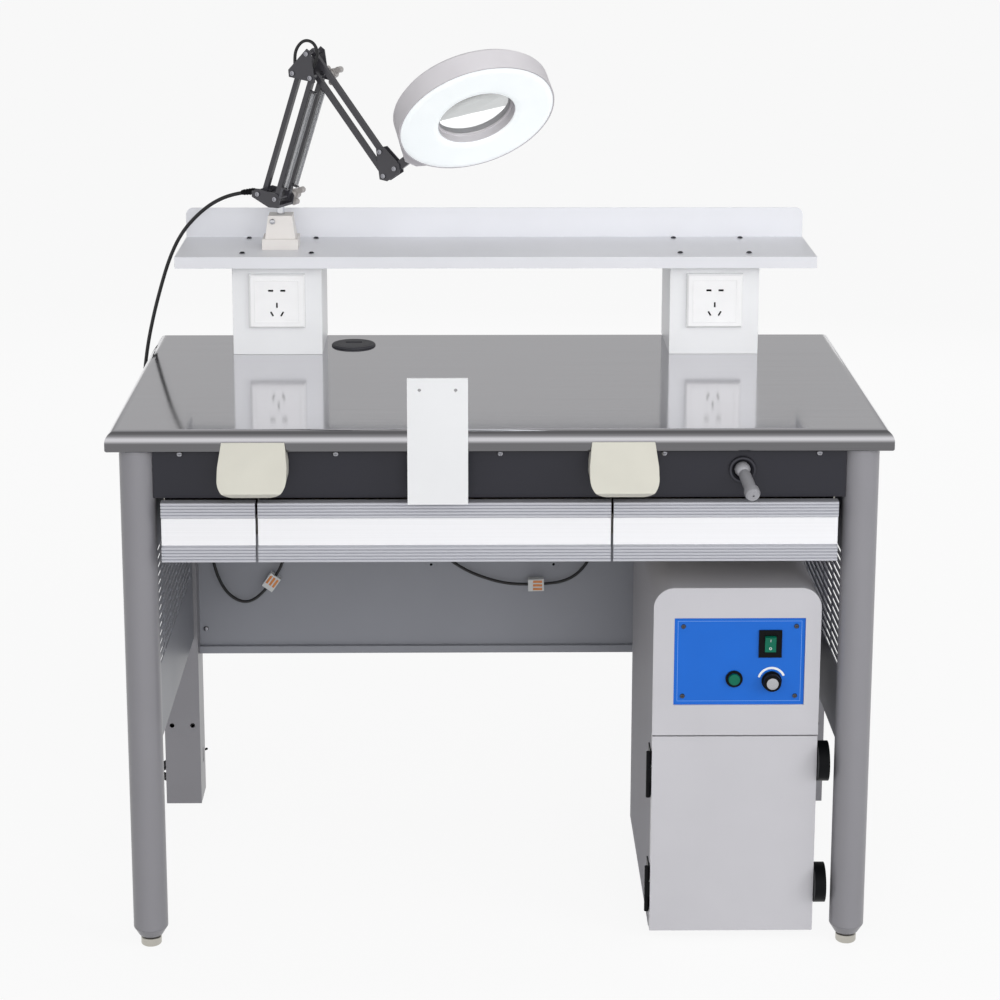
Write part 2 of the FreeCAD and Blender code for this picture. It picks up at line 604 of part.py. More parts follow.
# Drawer cheeks and runners: sheets hung from the board, each with channels that carry the trays
COMPARTMENTS = {
    "left": (("-drawer_span", "left_split - drawer_gap / 2"),
             ("cheek_sheet - drawer_span", "left_split - cheek_sheet / 2")),
    "middle": (("left_split + drawer_gap / 2", "right_split - drawer_gap / 2"),
               ("left_split + cheek_sheet / 2", "right_split - cheek_sheet / 2")),
    "right": (("right_split + drawer_gap / 2", "drawer_span"),
              ("right_split + cheek_sheet / 2", "drawer_span - cheek_sheet")),
}
cheek_y = ("rail_back", "rail_back + cheek_depth")
cheek_z = ("drawer_low + cheek_drop", "under")
runners = [block(f"cheek_{index}", (low, f"{low} + cheek_sheet"), cheek_y, cheek_z)
           for index, low in enumerate(("-drawer_span", "left_split - cheek_sheet / 2",
                                        "right_split - cheek_sheet / 2", "drawer_span - cheek_sheet"))]
for side, (edges, faces) in COMPARTMENTS.items():
    for hand, x in (("a", (faces[0], f"{faces[0]} + runner_wide")),
                    ("b", (f"{faces[1]} - runner_wide", faces[1]))):
        room = (f"{x[0]} + runner_wall", f"{x[1]} + 1") if hand == "a" else (f"{x[0]} - 1",
                                                                             f"{x[1]} - runner_wall")
        y = ("rail_back", "rail_back + runner_long")
        bar = block(f"runner_bar_{side}_{hand}", x, y, ("runner_z", "runner_z + runner_high"))
        channel = block(f"runner_room_{side}_{hand}", room, ("rail_back - 1", "rail_back + runner_long + 1"),
                        ("runner_z + runner_wall", "runner_z + runner_high - runner_wall"))
        runners.append(cut(f"runner_{side}_{hand}", bar, channel))
keep(group("drawer_runners", *runners), "drawer_runners")


# Drawer fronts: extruded aluminium, ribbed above and below a recessed finger band
def ribbed_front(name, edges):
    low, high = number("drawer_low"), number("drawer_top")
    face, back = number("drawer_face"), number("drawer_back")
    zone, pitch = number("rib_zone"), number("rib_pitch")
    width, depth = number("rib_wide"), number("rib_deep")
    profile = [(back, low), (face + depth, low)]

    def ribs(start):
        for index in range(round(zone / pitch)):
            z = start + index * pitch
            profile.extend([(face + depth, z), (face, z + (pitch - width) / 2),
                            (face, z + (pitch + width) / 2), (face + depth, z + pitch)])

    ribs(low)
    band = face + number("finger_deep")
    profile.extend([(band, low + zone + depth), (band, high - zone - depth)])
    ribs(high - zone)
    profile.append((back, high))
    x = number(edges[0])
    corners = []
    for y, z in profile:
        corner = Vector(x, y, z)
        if not corners or corners[-1].distanceToPoint(corner) > 1e-6:
            corners.append(corner)
    face_shape = Part.Face(Part.makePolygon(corners + corners[:1]))
    return feature(name, face_shape.extrude(Vector(number(edges[1]) - x, 0, 0)))


def drawer_tray(name, faces):
    """Open tray with a tongue on each side that runs in its channel."""
    x = (f"{faces[0]} + runner_wide + runner_play", f"{faces[1]} - runner_wide - runner_play")
    y = ("drawer_back", "drawer_back + tray_depth")
    z = ("tray_low", "tray_low + tray_height")
    outer = block(name + "_outer", x, y, z)
    inner = block(name + "_inner", (f"{x[0]} + tray_wall", f"{x[1]} - tray_wall"),
                  (f"{y[0]} + tray_wall", f"{y[1]} - tray_wall"), (f"{z[0]} + tray_wall", f"{z[1]} + 1"))
    tongue_y = ("rail_back + tongue_front", y[1])
    tongue_z = ("runner_z + runner_wall + runner_play", "runner_z + runner_high - runner_wall - runner_play")
    tongue_left = block(name + "_tongue_a", (f"{faces[0]} + runner_wall + runner_play", x[0]), tongue_y,
                        tongue_z)
    tongue_right = block(name + "_tongue_b", (x[1], f"{faces[1]} - runner_wall - runner_play"), tongue_y,
                         tongue_z)
    return fuse(name, cut(name + "_pan", outer, inner), tongue_left, tongue_right)


for side, (edges, faces) in COMPARTMENTS.items():
    keep(ribbed_front("drawer_front_" + side, edges), "drawer_front_" + side)
    keep(drawer_tray("drawer_tray_" + side, faces), "drawer_tray_" + side)


# Arm rests: wedges screwed to the apron, rebated under the worktop edge
def armrest(name, x):
    wedge = extruded(
        name + "_wedge", "YZ_Plane",
        [("front - armrest_play", "armrest_high"), ("front - armrest_reach", "armrest_low + armrest_lip"),
         ("front - armrest_reach + armrest_lip", "armrest_low"), ("apron_y", "armrest_low"),
         ("apron_y", "under - armrest_play"), ("front - armrest_play", "under - armrest_play")],
        (f"{x} - armrest_wide / 2", f"{x} + armrest_wide / 2"))
    face = extruded(
        name + "_face", "XZ_Plane",
        [(f"{x} - armrest_wide / 2", "armrest_low"), (f"{x} + armrest_wide / 2", "armrest_low"),
         (f"{x} + armrest_wide / 2", "armrest_low + armrest_shoulder"),
         (f"{x} + armrest_top / 2", "armrest_high"), (f"{x} - armrest_top / 2", "armrest_high"),
         (f"{x} - armrest_wide / 2", "armrest_low + armrest_shoulder")],
        ("front - armrest_reach - 1", "apron_y"))
    low = number("armrest_low")
    rounded(face, "armrest_round",
            lambda edge: along(edge, Vector(0, 1, 0)) and abs(edge.BoundBox.ZMax - low) < 0.1)
    rest = doc.addObject("Part::Common", name)
    rest.Base = wedge
    rest.Tool = face
    return rest


keep(group("armrests", armrest("armrest_left", "-armrest_left"), armrest("armrest_right", "armrest_right")),
     "armrests")

# Work plate: an upright plate in front of the worktop on a folded bracket
plate_body = block("plate_body", ("-plate_x - plate_wide / 2", "-plate_x + plate_wide / 2"),
                   ("plate_y", "plate_y + plate_sheet"), ("plate_low", "plate_low + plate_high"))
plate_holes = [rod(f"plate_hole_{side}", "y",
                   (f"-plate_x {sign} plate_hole_apart / 2", "plate_low + plate_high - plate_hole_down"),
                   ("plate_y - 1", "plate_y + plate_sheet + 1"), "plate_hole")
               for side, sign in (("left", "-"), ("right", "+"))]
bracket_x = ("-plate_x - bracket_wide / 2", "-plate_x + bracket_wide / 2")
bracket_z = ("plate_low + bracket_lift", "plate_low + bracket_lift + bracket_high")
bracket_bar = block("bracket_bar", bracket_x, ("plate_y + plate_sheet", "apron_y"), bracket_z)
bracket_room = block(
    "bracket_room", (f"{bracket_x[0]} + bracket_wall", f"{bracket_x[1]} - bracket_wall"),
    ("plate_y + plate_sheet + bracket_wall", "apron_y - bracket_wall"),
    (f"{bracket_z[0]} + bracket_wall", f"{bracket_z[1]} + 1"))
keep(group("work_plate", cut("plate_sheet_cut", plate_body, *plate_holes),
           cut("plate_bracket", bracket_bar, bracket_room)), "work_plate")

# Air gun: a nozzle on a ball with a short trunnion pin, which dips in a knurled bush in the apron
gun_bore = "gun_ball + gun_play"
keep(turned("air_gun_bush",
            [(gun_bore, "-bush_depth"), ("bush_sleeve", "-bush_depth"), ("bush_sleeve", "0"),
             ("bush_flange", "0"),
             ("bush_flange", "bush_lip - 1"), ("bush_flange - 1", "bush_lip"), ("bush_mouth", "bush_lip"),
             (gun_bore, "0")],
            ("gun_x", "apron_y", "gun_z"), FACING_FRONT), "air_gun_bush")
gun_heading = Rotation(Vector(0, 0, 1), number("gun_turn")) * Rotation(Vector(1, 0, 0),
                                                                       number("gun_dip") + 90)
gun_body = turned(
    "gun_body",
    [("0", "0"), ("gun_neck", "0"), ("gun_neck", "gun_ball + 3"),
     ("gun_barrel", "gun_ball + 4"), ("gun_barrel", "gun_long - 14"), ("gun_collar", "gun_long - 12"),
     ("gun_collar", "gun_long - 4"), ("gun_barrel", "gun_long"), ("gun_bore", "gun_long"),
     ("gun_bore", "gun_long - 8"), ("0", "gun_long - 8")],
    ("gun_x", "apron_y", "gun_z"), gun_heading)
ball = doc.addObject("Part::Sphere", "gun_ball")
ball.setExpression("Radius", tied("gun_ball"))
for letter, formula in zip("xyz", ("gun_x", "apron_y", "gun_z")):
    ball.setExpression(f"Placement.Base.{letter}", tied(formula))
trunnion = rod("gun_trunnion", "x", ("apron_y", "gun_z"),
               ("gun_x - gun_ball - gun_pin_out", "gun_x + gun_ball + gun_pin_out"), "gun_pin")
keep(fuse("air_gun", gun_body, ball, trunnion), "air_gun")


# Pedestals: folded boxes under the shelf, each open in front for its socket
def pedestal(name, x):
    left, right = f"{x} - pedestal_wide / 2", f"{x} + pedestal_wide / 2"
    back = "front + pedestal_back"
    outer = block(name + "_outer", (left, right), ("pedestal_y", back), ("worktop_height", "shelf_under"))
    inner = block(name + "_inner", (f"{left} + pedestal_sheet", f"{right} - pedestal_sheet"),
                  ("pedestal_y + pedestal_sheet", f"{back} - pedestal_sheet"),
                  ("worktop_height - 1", "shelf_under - pedestal_sheet"))
    mouth = block(name + "_mouth", (f"{x} - socket_box / 2", f"{x} + socket_box / 2"),
                  ("pedestal_y - 1", "pedestal_y + pedestal_sheet + 1"),
                  ("socket_z - socket_box / 2", "socket_z + socket_box / 2"))
    return cut(name, outer, inner, mouth)


keep(group("pedestals", pedestal("pedestal_left", "-pedestal_x"), pedestal("pedestal_right", "pedestal_x")),
     "pedestals")


# Sockets: a bevelled plate with two round-ended and three flat holes, and the box behind it
def socket(name, x):
    face = "pedestal_y - socket_thick"
    plate = extruded(
        name + "_plate", "XZ_Plane",
        rectangle((f"{x} - socket_wide / 2", f"{x} + socket_wide / 2"),
                  ("socket_z - socket_high / 2", "socket_z + socket_high / 2")),
        (face, "pedestal_y"))
    doc.recompute()
    pad = plate.Tip
    reach = number("socket_thick")
    edges = [f"Edge{index}" for index, edge in enumerate(pad.Shape.Edges, start=1)
             if edge.BoundBox.YMax < 0.1 - reach]
    bevel = plate.newObject("PartDesign::Chamfer", name + "_bevel")
    bevel.Base = (pad, edges)
    bevel.setExpression("Size", tied("socket_bevel"))
    plate.Tip = bevel
    depth = number("socket_hole_deep")
    holes = []
    for index, (across, up, wide, high, lean) in enumerate((
            (-9.5, 17, 8, 3, 0), (9.5, 17, 8, 3, 0), (0, -6, 2.5, 8, 0), (-8, -20, 2.5, 8, -30),
            (8, -20, 2.5, 8, 30))):
        middle = Vector(number(x) + across, number(face), number("socket_z") + up)
        hole = Part.makeBox(wide, depth + 1, high, Vector(-wide / 2, -1, -high / 2))
        holes.append(feature(f"{name}_hole_{index}", hole,
                             Placement(middle, Rotation(Vector(0, 1, 0), lean))))
    box = block(name + "_box", (f"{x} - socket_box / 2 + 1", f"{x} + socket_box / 2 - 1"),
                ("pedestal_y", "pedestal_y + socket_box_deep"),
                ("socket_z - socket_box / 2 + 1", "socket_z + socket_box / 2 - 1"))
    return [cut(name, plate, *holes), box]


keep(group("sockets", *socket("socket_left", "-pedestal_x"), *socket("socket_right", "pedestal_x")),
     "sockets")

# Shelf: one folded sheet with a lip round the front and ends and an upstand at the back
shelf_x = ("shelf_edge - end", "end - shelf_edge")
lip_z = ("shelf_top - shelf_lip", "shelf_top")
upstand = extruded("upstand", "XZ_Plane",
                   rectangle(shelf_x, ("shelf_top - shelf_sheet", "shelf_top + upstand_high")),
                   ("shelf_back - shelf_sheet", "shelf_back"))
upstand_top = number("shelf_top + upstand_high")
rounded(upstand, "upstand_round",
        lambda edge: along(edge, Vector(0, 1, 0)) and abs(edge.BoundBox.ZMin - upstand_top) < 0.1)
shelf_folded = fuse(
    "shelf_folded", block("shelf_plate", shelf_x, ("shelf_y", "shelf_back"), ("shelf_under", "shelf_top")),
    block("shelf_front_lip", shelf_x, ("shelf_y", "shelf_y + shelf_sheet"), lip_z),
    block("shelf_left_lip", (shelf_x[0], f"{shelf_x[0]} + shelf_sheet"), ("shelf_y", "shelf_back"), lip_z),
    block("shelf_right_lip", (f"{shelf_x[1]} - shelf_sheet", shelf_x[1]), ("shelf_y", "shelf_back"), lip_z),
    upstand)
keep(cut("shelf", shelf_folded, *screw_holes("shelf_screw_hole", SHELF_SCREWS, "z", "shelf_sheet")), "shelf")


# Dome screws of the apron, the shelf, the back panel and the control panel
def screw(at, rotation):
    head, dome = number("screw_head"), number("screw_dome")
    ball = (head ** 2 + dome ** 2) / (2 * dome)
    crown = Part.Arc(Vector(head, 0, 0), Vector(ball * math.sin(math.asin(head / ball) / 2), 0,
                     ball * math.cos(math.asin(head / ball) / 2) - ball + dome), Vector(0, 0, dome)).toShape()
    stem = [Vector(0, 0, dome), Vector(0, 0, -number("screw_shank_long")),
            Vector(number("screw_shank"), 0, -number("screw_shank_long")),
            Vector(number("screw_shank"), 0, 0),
            Vector(head, 0, 0)]
    outline = Part.Wire([crown] + [Part.LineSegment(a, b).toShape() for a, b in zip(stem, stem[1:])])
    shape = Part.Face(outline).revolve(Vector(), Vector(0, 0, 1), 360)
    shape.Placement = Placement(at, rotation)
    return shape


screws = [screw(spot(*place), FACING_FRONT) for place in APRON_SCREWS + PANEL_SCREWS + WINDOW_SCREWS]
screws += [screw(spot(*place), Rotation()) for place in SHELF_SCREWS]
keep(feature("dome_screws", Part.makeCompound(screws)), "dome_screws")

# Lamp base: a tapered block on the shelf with the bore of the swivel post
LAMP_AT = ("-lamp_x", "front + lamp_y")
base_foot = block("base_foot", ("-lamp_x - base_wide / 2", "-lamp_x + base_wide / 2"),
                  (f"{LAMP_AT[1]} - base_wide / 2", f"{LAMP_AT[1]} + base_wide / 2"),
                  ("shelf_top", "shelf_top + base_plate"))


def square_at(width, height):
    half = width / 2
    middle = spot(*LAMP_AT, "shelf_top")
    corners = [middle + Vector(x * half, y * half, height) for x, y in ((-1, -1), (1, -1), (1, 1), (-1, 1))]
    return Part.makePolygon(corners + corners[:1])


taper = feature("base_taper", Part.makeLoft(
    [square_at(number("base_body_low"), number("base_plate")),
     square_at(number("base_body_high"), number("base_plate + base_body"))], True, True))
post_bore = rod("post_bore", "z", LAMP_AT, ("shelf_top + post_low", "shelf_top + base_plate + base_body + 1"),
                "post_radius + post_play")
keep(cut("lamp_base", fuse("base_block", base_foot, taper), post_bore), "lamp_base")

# Lamp frame: local X points along the arms, local Y away from the viewer, local Z up from the shelf
LAMP = Placement(spot(*LAMP_AT, "shelf_top"), Rotation(Vector(0, 0, 1), -number("lamp_turn")))


def heading(degrees):
    """Direction in the arm plane, measured up from level."""
    angle = math.radians(degrees)
    return Vector(math.cos(angle), 0, math.sin(angle))


FRONT_PIVOT = Vector(number("front_pivot_out"), 0, number("front_pivot_up"))
LOWER = heading(90 - number("lower_lean")) * number("lower_arm")
UPPER = heading(-number("upper_dip")) * number("upper_arm")
REAR_PIVOT = FRONT_PIVOT - heading(-number("link_drop")) * number("link_gap")
ELBOW_FRONT = FRONT_PIVOT + LOWER
ELBOW_REAR = REAR_PIVOT + LOWER
APEX = ELBOW_FRONT - heading(number("elbow_lean") - 90) * number("elbow_gap")
HEAD_TOP = APEX + UPPER
HEAD_LOW = ELBOW_FRONT + UPPER
NECK = (HEAD_TOP + HEAD_LOW) * 0.5 + Vector(number("neck_out"), 0, number("neck_up"))
HALF_SPAN = number("cheek_inner + cheek_plate")
HEAD_SPAN = number("head_cheek_inner + cheek_plate")


def across(point, radius, half):
    """Cylinder across the arm plane."""
    return Part.makeCylinder(radius, 2 * half, point + Vector(0, -half, 0), Vector(0, 1, 0))


def plate(corners, low, high):
    """Flat plate of the arm plane between two offsets across it."""
    outline = [corner + Vector(0, low, 0) for corner in corners]
    return Part.Face(Part.makePolygon(outline + outline[:1])).extrude(Vector(0, high - low, 0))


def near(point, out, up):
    return point + Vector(out, 0, up)


def cheeks(corners, inner, pins):
    """Two like plates joined by the pins that carry the bars."""
    sheet = number("cheek_plate")
    pieces = [plate(corners, inner, inner + sheet), plate(corners, -inner - sheet, -inner)]
    pieces += [across(pin, number("pin_radius"), inner + sheet) for pin in pins]
    return pieces[0].fuse(pieces[1:])


def stud(point):
    """Far end of a pin, which carries a clamp knob."""
    return Part.makeCylinder(number("pin_radius"), number("knob_stud"), point + Vector(0, HALF_SPAN, 0),
                             Vector(0, 1, 0))


def bar(start, end, middle, holes):
    """Square bar between two pivots with a hole of its own play at each."""
    line = (end - start).normalize()
    side = Vector(-line.z, 0, line.x) * (number("bar_wide") / 2)
    past = line * number("bar_end")
    low = middle - number("bar_wide") / 2
    shape = plate([start - past - side, end + past - side, end + past + side, start - past + side],
                  low, low + number("bar_wide"))
    for point, play in zip((start, end), holes):
        shape = shape.cut(across(point, number("pin_radius") + play, HALF_SPAN))
    return shape


# Swivel post and base bracket, with the gland where the cord leaves
post = rod("lamp_post", "z", LAMP_AT, ("shelf_top + post_low", "shelf_top + web_low"), "post_radius")
keep(post, "lamp_post")
web = Part.makeBox(number("web_half * 2"), 2 * HALF_SPAN, number("web_high - web_low"),
                   Vector(-number("web_half"), -HALF_SPAN, number("web_low")))
base_corners = [Vector(-number("web_half"), 0, number("web_low")),
                Vector(number("web_half"), 0, number("web_low")),
                near(FRONT_PIVOT, 9, 0), near(FRONT_PIVOT, 4, 8), near(REAR_PIVOT, 0, 8),
                near(REAR_PIVOT, -11, 3),
                near(REAR_PIVOT, -11, -5)]
gland_low = near(REAR_PIVOT, -11, 0)
gland_bar = Part.makeBox(number("cheek_plate"), 2 * HALF_SPAN, 9,
                         near(REAR_PIVOT, -11, -5) - Vector(0, HALF_SPAN, 0))
gland = Part.makeCylinder(number("gland_radius"), number("gland_reach") + gland_low.x, gland_low,
                          Vector(-1, 0, 0))
bracket = cheeks(base_corners, number("cheek_inner"), (FRONT_PIVOT, REAR_PIVOT)).fuse(
    [web, gland_bar, gland, stud(FRONT_PIVOT)])
keep(feature("lamp_base_bracket", bracket.removeSplitter(), LAMP), "lamp_base_bracket")

# Lower arm: twin front bars with their springs, and one rear bar
play, open_play = number("pin_play"), number("open_pin_play")
twin = number("twin_offset")
lower_line = Vector(LOWER).normalize()
lower_side = Vector(lower_line.z, 0, -lower_line.x)
front_bars = []
springs = []
for middle in (-twin, twin):
    shape = bar(FRONT_PIVOT, ELBOW_FRONT, middle, (play, play))
    anchor = FRONT_PIVOT + Vector(0, middle, 0) + lower_side * number("spring_offset")
    inset, lug = number("spring_inset"), number("lug_thick")
    wire, coil, turns = number("spring_wire"), number("spring_radius"), int(number("spring_turns"))
    for low in (inset - lug, number("lower_arm") - inset):
        foot = FRONT_PIVOT + lower_line * low + lower_side * number("bar_wide / 2")
        reach = lower_side * (number("spring_offset - bar_wide / 2") + coil + wire)
        shape = shape.fuse(plate([foot, foot + reach, foot + reach + lower_line * lug,
                                  foot + lower_line * lug],
                                 middle - number("bar_wide") / 2, middle + number("bar_wide") / 2))
    front_bars.append(shape.removeSplitter())
    begin, length = inset + wire, number("lower_arm") - 2 * inset - 2 * wire
    quarters = 4 * turns
    lead = length / quarters
    stations = [(anchor + lower_line * inset + lower_side * coil, lower_line)]
    for quarter in range(quarters + 1):
        angle = quarter * math.pi / 2
        radial = lower_side * math.cos(angle) + Vector(0, 1, 0) * math.sin(angle)
        sideways = Vector(0, 1, 0) * math.cos(angle) - lower_side * math.sin(angle)
        travel = (sideways * (coil * math.pi / 2) + lower_line * lead).normalize()
        at_end = quarter in (0, quarters)
        stations.append((anchor + lower_line * (begin + quarter * lead) + radial * coil,
                         lower_line if at_end else travel))
    stations.append((anchor + lower_line * (begin + length + wire) + lower_side * coil, lower_line))
    spring_path = Part.Wire(wound_path(stations))
    gap = least_gap(spring_path, wire, coil * 3)
    spring = piped(spring_path, stations[0][0], lower_line, wire / 2)
    share = spring.Volume / (math.pi * wire ** 2 / 4 * spring_path.Length)
    print(f"spring: least gap to itself {gap:.2f}, volume share {share:.4f}")
    springs.append(spring)
keep(feature("lamp_front_bars", Part.makeCompound(front_bars), LAMP), "lamp_front_bars")
keep(feature("lamp_springs", Part.makeCompound(springs), LAMP), "lamp_springs")
keep(feature("lamp_rear_bar", bar(REAR_PIVOT, ELBOW_REAR, 0, (play, open_play)), LAMP), "lamp_rear_bar")

# Elbow bracket, and the loop of cable that it carries over its top
elbow_corners = [near(ELBOW_REAR, -7, -6), near(ELBOW_FRONT, 8, -7), near(APEX, 7, 3), near(APEX, 0, 8),
                 near(ELBOW_REAR, -8, 5)]
elbow = cheeks(elbow_corners, number("cheek_inner"), (ELBOW_REAR, ELBOW_FRONT, APEX))
elbow = elbow.fuse(stud(ELBOW_FRONT)).removeSplitter()
loop_radius = number("loop_radius")
loop_side = Vector(0, loop_radius + number("leg_play") - number("cheek_inner"), 0)
elbow_loop = cord_tube("elbow loop", [near(point, out, up) + loop_side for point, out, up in (
    (ELBOW_REAR, 2, 8), (APEX, -24, -6), (APEX, -19.5, 9), (APEX, -7.5, 20.5), (APEX, 7.5, 19.5),
    (APEX, 16.5, 8),
    (APEX, 16.5, -7), (APEX, 9, -20))], loop_radius)
keep(feature("lamp_elbow", elbow, LAMP), "lamp_elbow")
keep(feature("lamp_cable_loop", elbow_loop, LAMP), "lamp_cable_loop")

# Upper arm: the main bar from the apex and the link that keeps the head level
keep(feature("lamp_upper_bar", bar(APEX, HEAD_TOP, 0, (play, play)), LAMP), "lamp_upper_bar")
keep(feature("lamp_upper_link", bar(ELBOW_FRONT, HEAD_LOW, 0, (play, open_play)), LAMP), "lamp_upper_link")

# Head bracket between the upper arm and the neck
head_corners = [near(HEAD_TOP, -7, 5), near(HEAD_TOP, 6, 8), near(NECK, 8, 7), near(NECK, 9, -6),
                near(HEAD_LOW, 6, -8), near(HEAD_LOW, -7, -6)]
head_bracket = cheeks(head_corners, number("head_cheek_inner"), (HEAD_TOP, HEAD_LOW, NECK)).removeSplitter()
keep(feature("lamp_head_bracket", head_bracket, LAMP), "lamp_head_bracket")

# Neck: a flat eye on the bracket's pin that ends in the spigot the head rolls on
NECK_FRAME = LAMP * Placement(NECK, Rotation(Vector(0, -1, 0), number("neck_rise")))
eye = Part.makeBox(number("neck_back + neck_front"), number("bar_wide"), number("neck_deep"),
                   Vector(-number("neck_back"), -number("bar_wide") / 2, -number("neck_deep") / 2))
spigot = Part.makeCylinder(number("spigot_radius"), number("spigot_long"), Vector(number("neck_front"), 0, 0),
                           Vector(1, 0, 0))
neck = eye.fuse(spigot).cut(across(Vector(), number("pin_radius") + play, number("neck_deep")))
keep(feature("lamp_neck", neck, NECK_FRAME), "lamp_neck")

# Ring head: shell, diffuser and lens about the head's own axis, the light side down
HEAD_FRAME = (NECK_FRAME * Placement(Vector(number("neck_long"), 0, 0), Rotation())
              * Placement(Vector(), Rotation(Vector(1, 0, 0), -number("head_roll"))))
rim, half_high, inner_wall = "head_radius", "head_high / 2", "lens_radius + head_wall"
ring = turned("head_ring", [
    (rim, f"-{half_high}"), (rim, f"{half_high} - head_bevel"), (f"{rim} - head_bevel", half_high),
    ("lens_radius", half_high), ("lens_radius", "-lens_edge / 2"),
    ("lens_radius - lens_ledge", "-lens_edge / 2"),
    ("lens_radius - lens_ledge", "-lens_edge / 2 - ledge_high"),
    ("lens_radius", "-lens_edge / 2 - ledge_high"),
    ("lens_radius", f"head_wall - {half_high}"), (inner_wall, f"head_wall - {half_high}"),
    (inner_wall, f"{half_high} - head_wall"), (f"{rim} - head_bevel - 1", f"{half_high} - head_wall"),
    (f"{rim} - head_wall", f"{half_high} - head_bevel - 1"), (f"{rim} - head_wall", f"-{half_high}")])
tail_start = number("neck_front + tail_gap - neck_long")
tail_end = number("tail_into - head_radius")
tail_half = number("tail_half")
tail_corners = [Vector(tail_start, y, -tail_half) for y in (-number("tail_narrow"), number("tail_narrow"))]
tail_corners += [Vector(tail_end, y, -tail_half) for y in (number("tail_wide"), -number("tail_wide"))]
tail = feature("head_tail", Part.Face(Part.makePolygon(tail_corners + tail_corners[:1])).extrude(
    Vector(0, 0, 2 * tail_half)))
spigot_room = feature("spigot_room", Part.makeCylinder(
    number("spigot_radius + spigot_play"), number("spigot_long + 1"), Vector(tail_start - 0.5, 0, 0),
    Vector(1, 0, 0)))
shell = cut("lamp_shell", fuse("head_casing", ring, tail), spigot_room)
shell.Placement = HEAD_FRAME
keep(shell, "lamp_shell")
glass_in, glass_out = f"{inner_wall} - diffuser_lap", f"{rim} - head_wall - lens_play"
diffuser = turned("lamp_diffuser", [
    (glass_in, f"head_wall - {half_high}"), (glass_in, f"-{half_high}"),
    (f"{glass_in} + diffuser_edge", f"-{half_high} - diffuser_crown"),
    (f"{glass_out} - diffuser_edge", f"-{half_high} - diffuser_crown"), (glass_out, f"-{half_high}"),
    (glass_out, f"head_wall - {half_high}")])
diffuser.Placement = HEAD_FRAME
keep(diffuser, "lamp_diffuser")
lens_half, edge_half = number("lens_thick / 2"), number("lens_edge / 2")
lens_rim, curve_rim = number("lens_radius - lens_play"), number("lens_radius - lens_play - lens_rim")


def lens_face(sign):
    bulge = lens_half - (lens_half - edge_half) / 4
    return Part.Arc(Vector(0, 0, sign * lens_half), Vector(curve_rim / 2, 0, sign * bulge),
                    Vector(curve_rim, 0, sign * edge_half)).toShape()


rim_corners = [Vector(curve_rim, 0, edge_half), Vector(lens_rim, 0, edge_half),
               Vector(lens_rim, 0, -edge_half),
               Vector(curve_rim, 0, -edge_half)]
rim_lines = [Part.LineSegment(start, end).toShape() for start, end in zip(rim_corners, rim_corners[1:])]
lens_axis = Part.LineSegment(Vector(0, 0, -lens_half), Vector(0, 0, lens_half)).toShape()
lens_outline = Part.Wire([lens_face(1)] + rim_lines + [lens_face(-1), lens_axis])
lens = Part.Face(lens_outline).revolve(Vector(), Vector(0, 0, 1), 360)
keep(feature("lamp_lens", lens, HEAD_FRAME), "lamp_lens")


# Clamp knobs: three-lobed wing knobs on the far side of the base bracket and the elbow
def wing_knob(name, pivot, out):
    start = HALF_SPAN + number("knob_gap")
    thick, lobe = number("knob_thick"), number("knob_lobe")
    stem = Part.makeCylinder(number("knob_stem"), number(out) - start, Vector(0, start, 0), Vector(0, 1, 0))
    shapes = [Part.makeCylinder(number("knob_hub"), thick, Vector(0, number(out), 0), Vector(0, 1, 0))]
    for index in range(3):
        reach = Rotation(Vector(0, 1, 0), 90 + index * 120).multVec(Vector(number("knob_reach"), 0, 0))
        shapes.append(Part.makeCylinder(lobe, thick, reach + Vector(0, number(out), 0), Vector(0, 1, 0)))
    bore = Part.makeCylinder(number("pin_radius + pin_play"), number("knob_stud + knob_gap"),
                             Vector(0, HALF_SPAN, 0),
                             Vector(0, 1, 0))
    return feature(name, stem.fuse(shapes).removeSplitter().cut(bore), LAMP * Placement(pivot, Rotation()))


keep(wing_knob("lamp_base_knob", FRONT_PIVOT, "base_knob_out"), "lamp_base_knob")
keep(wing_knob("lamp_elbow_knob", ELBOW_FRONT, "elbow_knob_out"), "lamp_elbow_knob")


# Dust collector shell: an arched wrap, cut back below for the door, with the strikers of its latches
def arch(name, inset, low, ends):
    """Body of the collector's front outline, drawn in by an inset, with rounded top corners."""
    body = extruded(name, "XZ_Plane",
                    rectangle((f"collector_x + {inset}", f"collector_right - {inset}"),
                              (low, f"collector_top - {inset}")),
                    ends)
    top = number(f"collector_top - {inset}")
    return rounded(body, f"collector_round - {inset}",
                   lambda edge: along(edge, Vector(0, 1, 0)) and abs(edge.BoundBox.ZMin - top) < 0.1)


wrap = arch("collector_wrap", "0", "collector_foot", ("panel_face", "collector_back"))
hollow = arch("collector_hollow", "collector_wall", "collector_foot - 1",
              ("panel_face - 1", "collector_back + 1"))
door_room = block("door_room", ("collector_x - 1", "collector_right + 1"),
                  ("collector_front - 1", "shell_front"),
                  ("collector_foot - 1", "fascia_low"))
strikers = [block(f"striker_{name}", ("collector_right - collector_wall - striker_long",
                                      "collector_right - collector_wall"),
                  ("latch_y + striker_near", "latch_y + striker_near + striker_thick"),
                  (f"{z} + striker_up", f"{z} + striker_up + striker_high"))
            for name, z in (("upper", "latch_upper"), ("lower", "latch_lower"))]
keep(fuse("collector_shell", cut("collector_sheet", wrap, hollow, door_room), *strikers), "collector_shell")

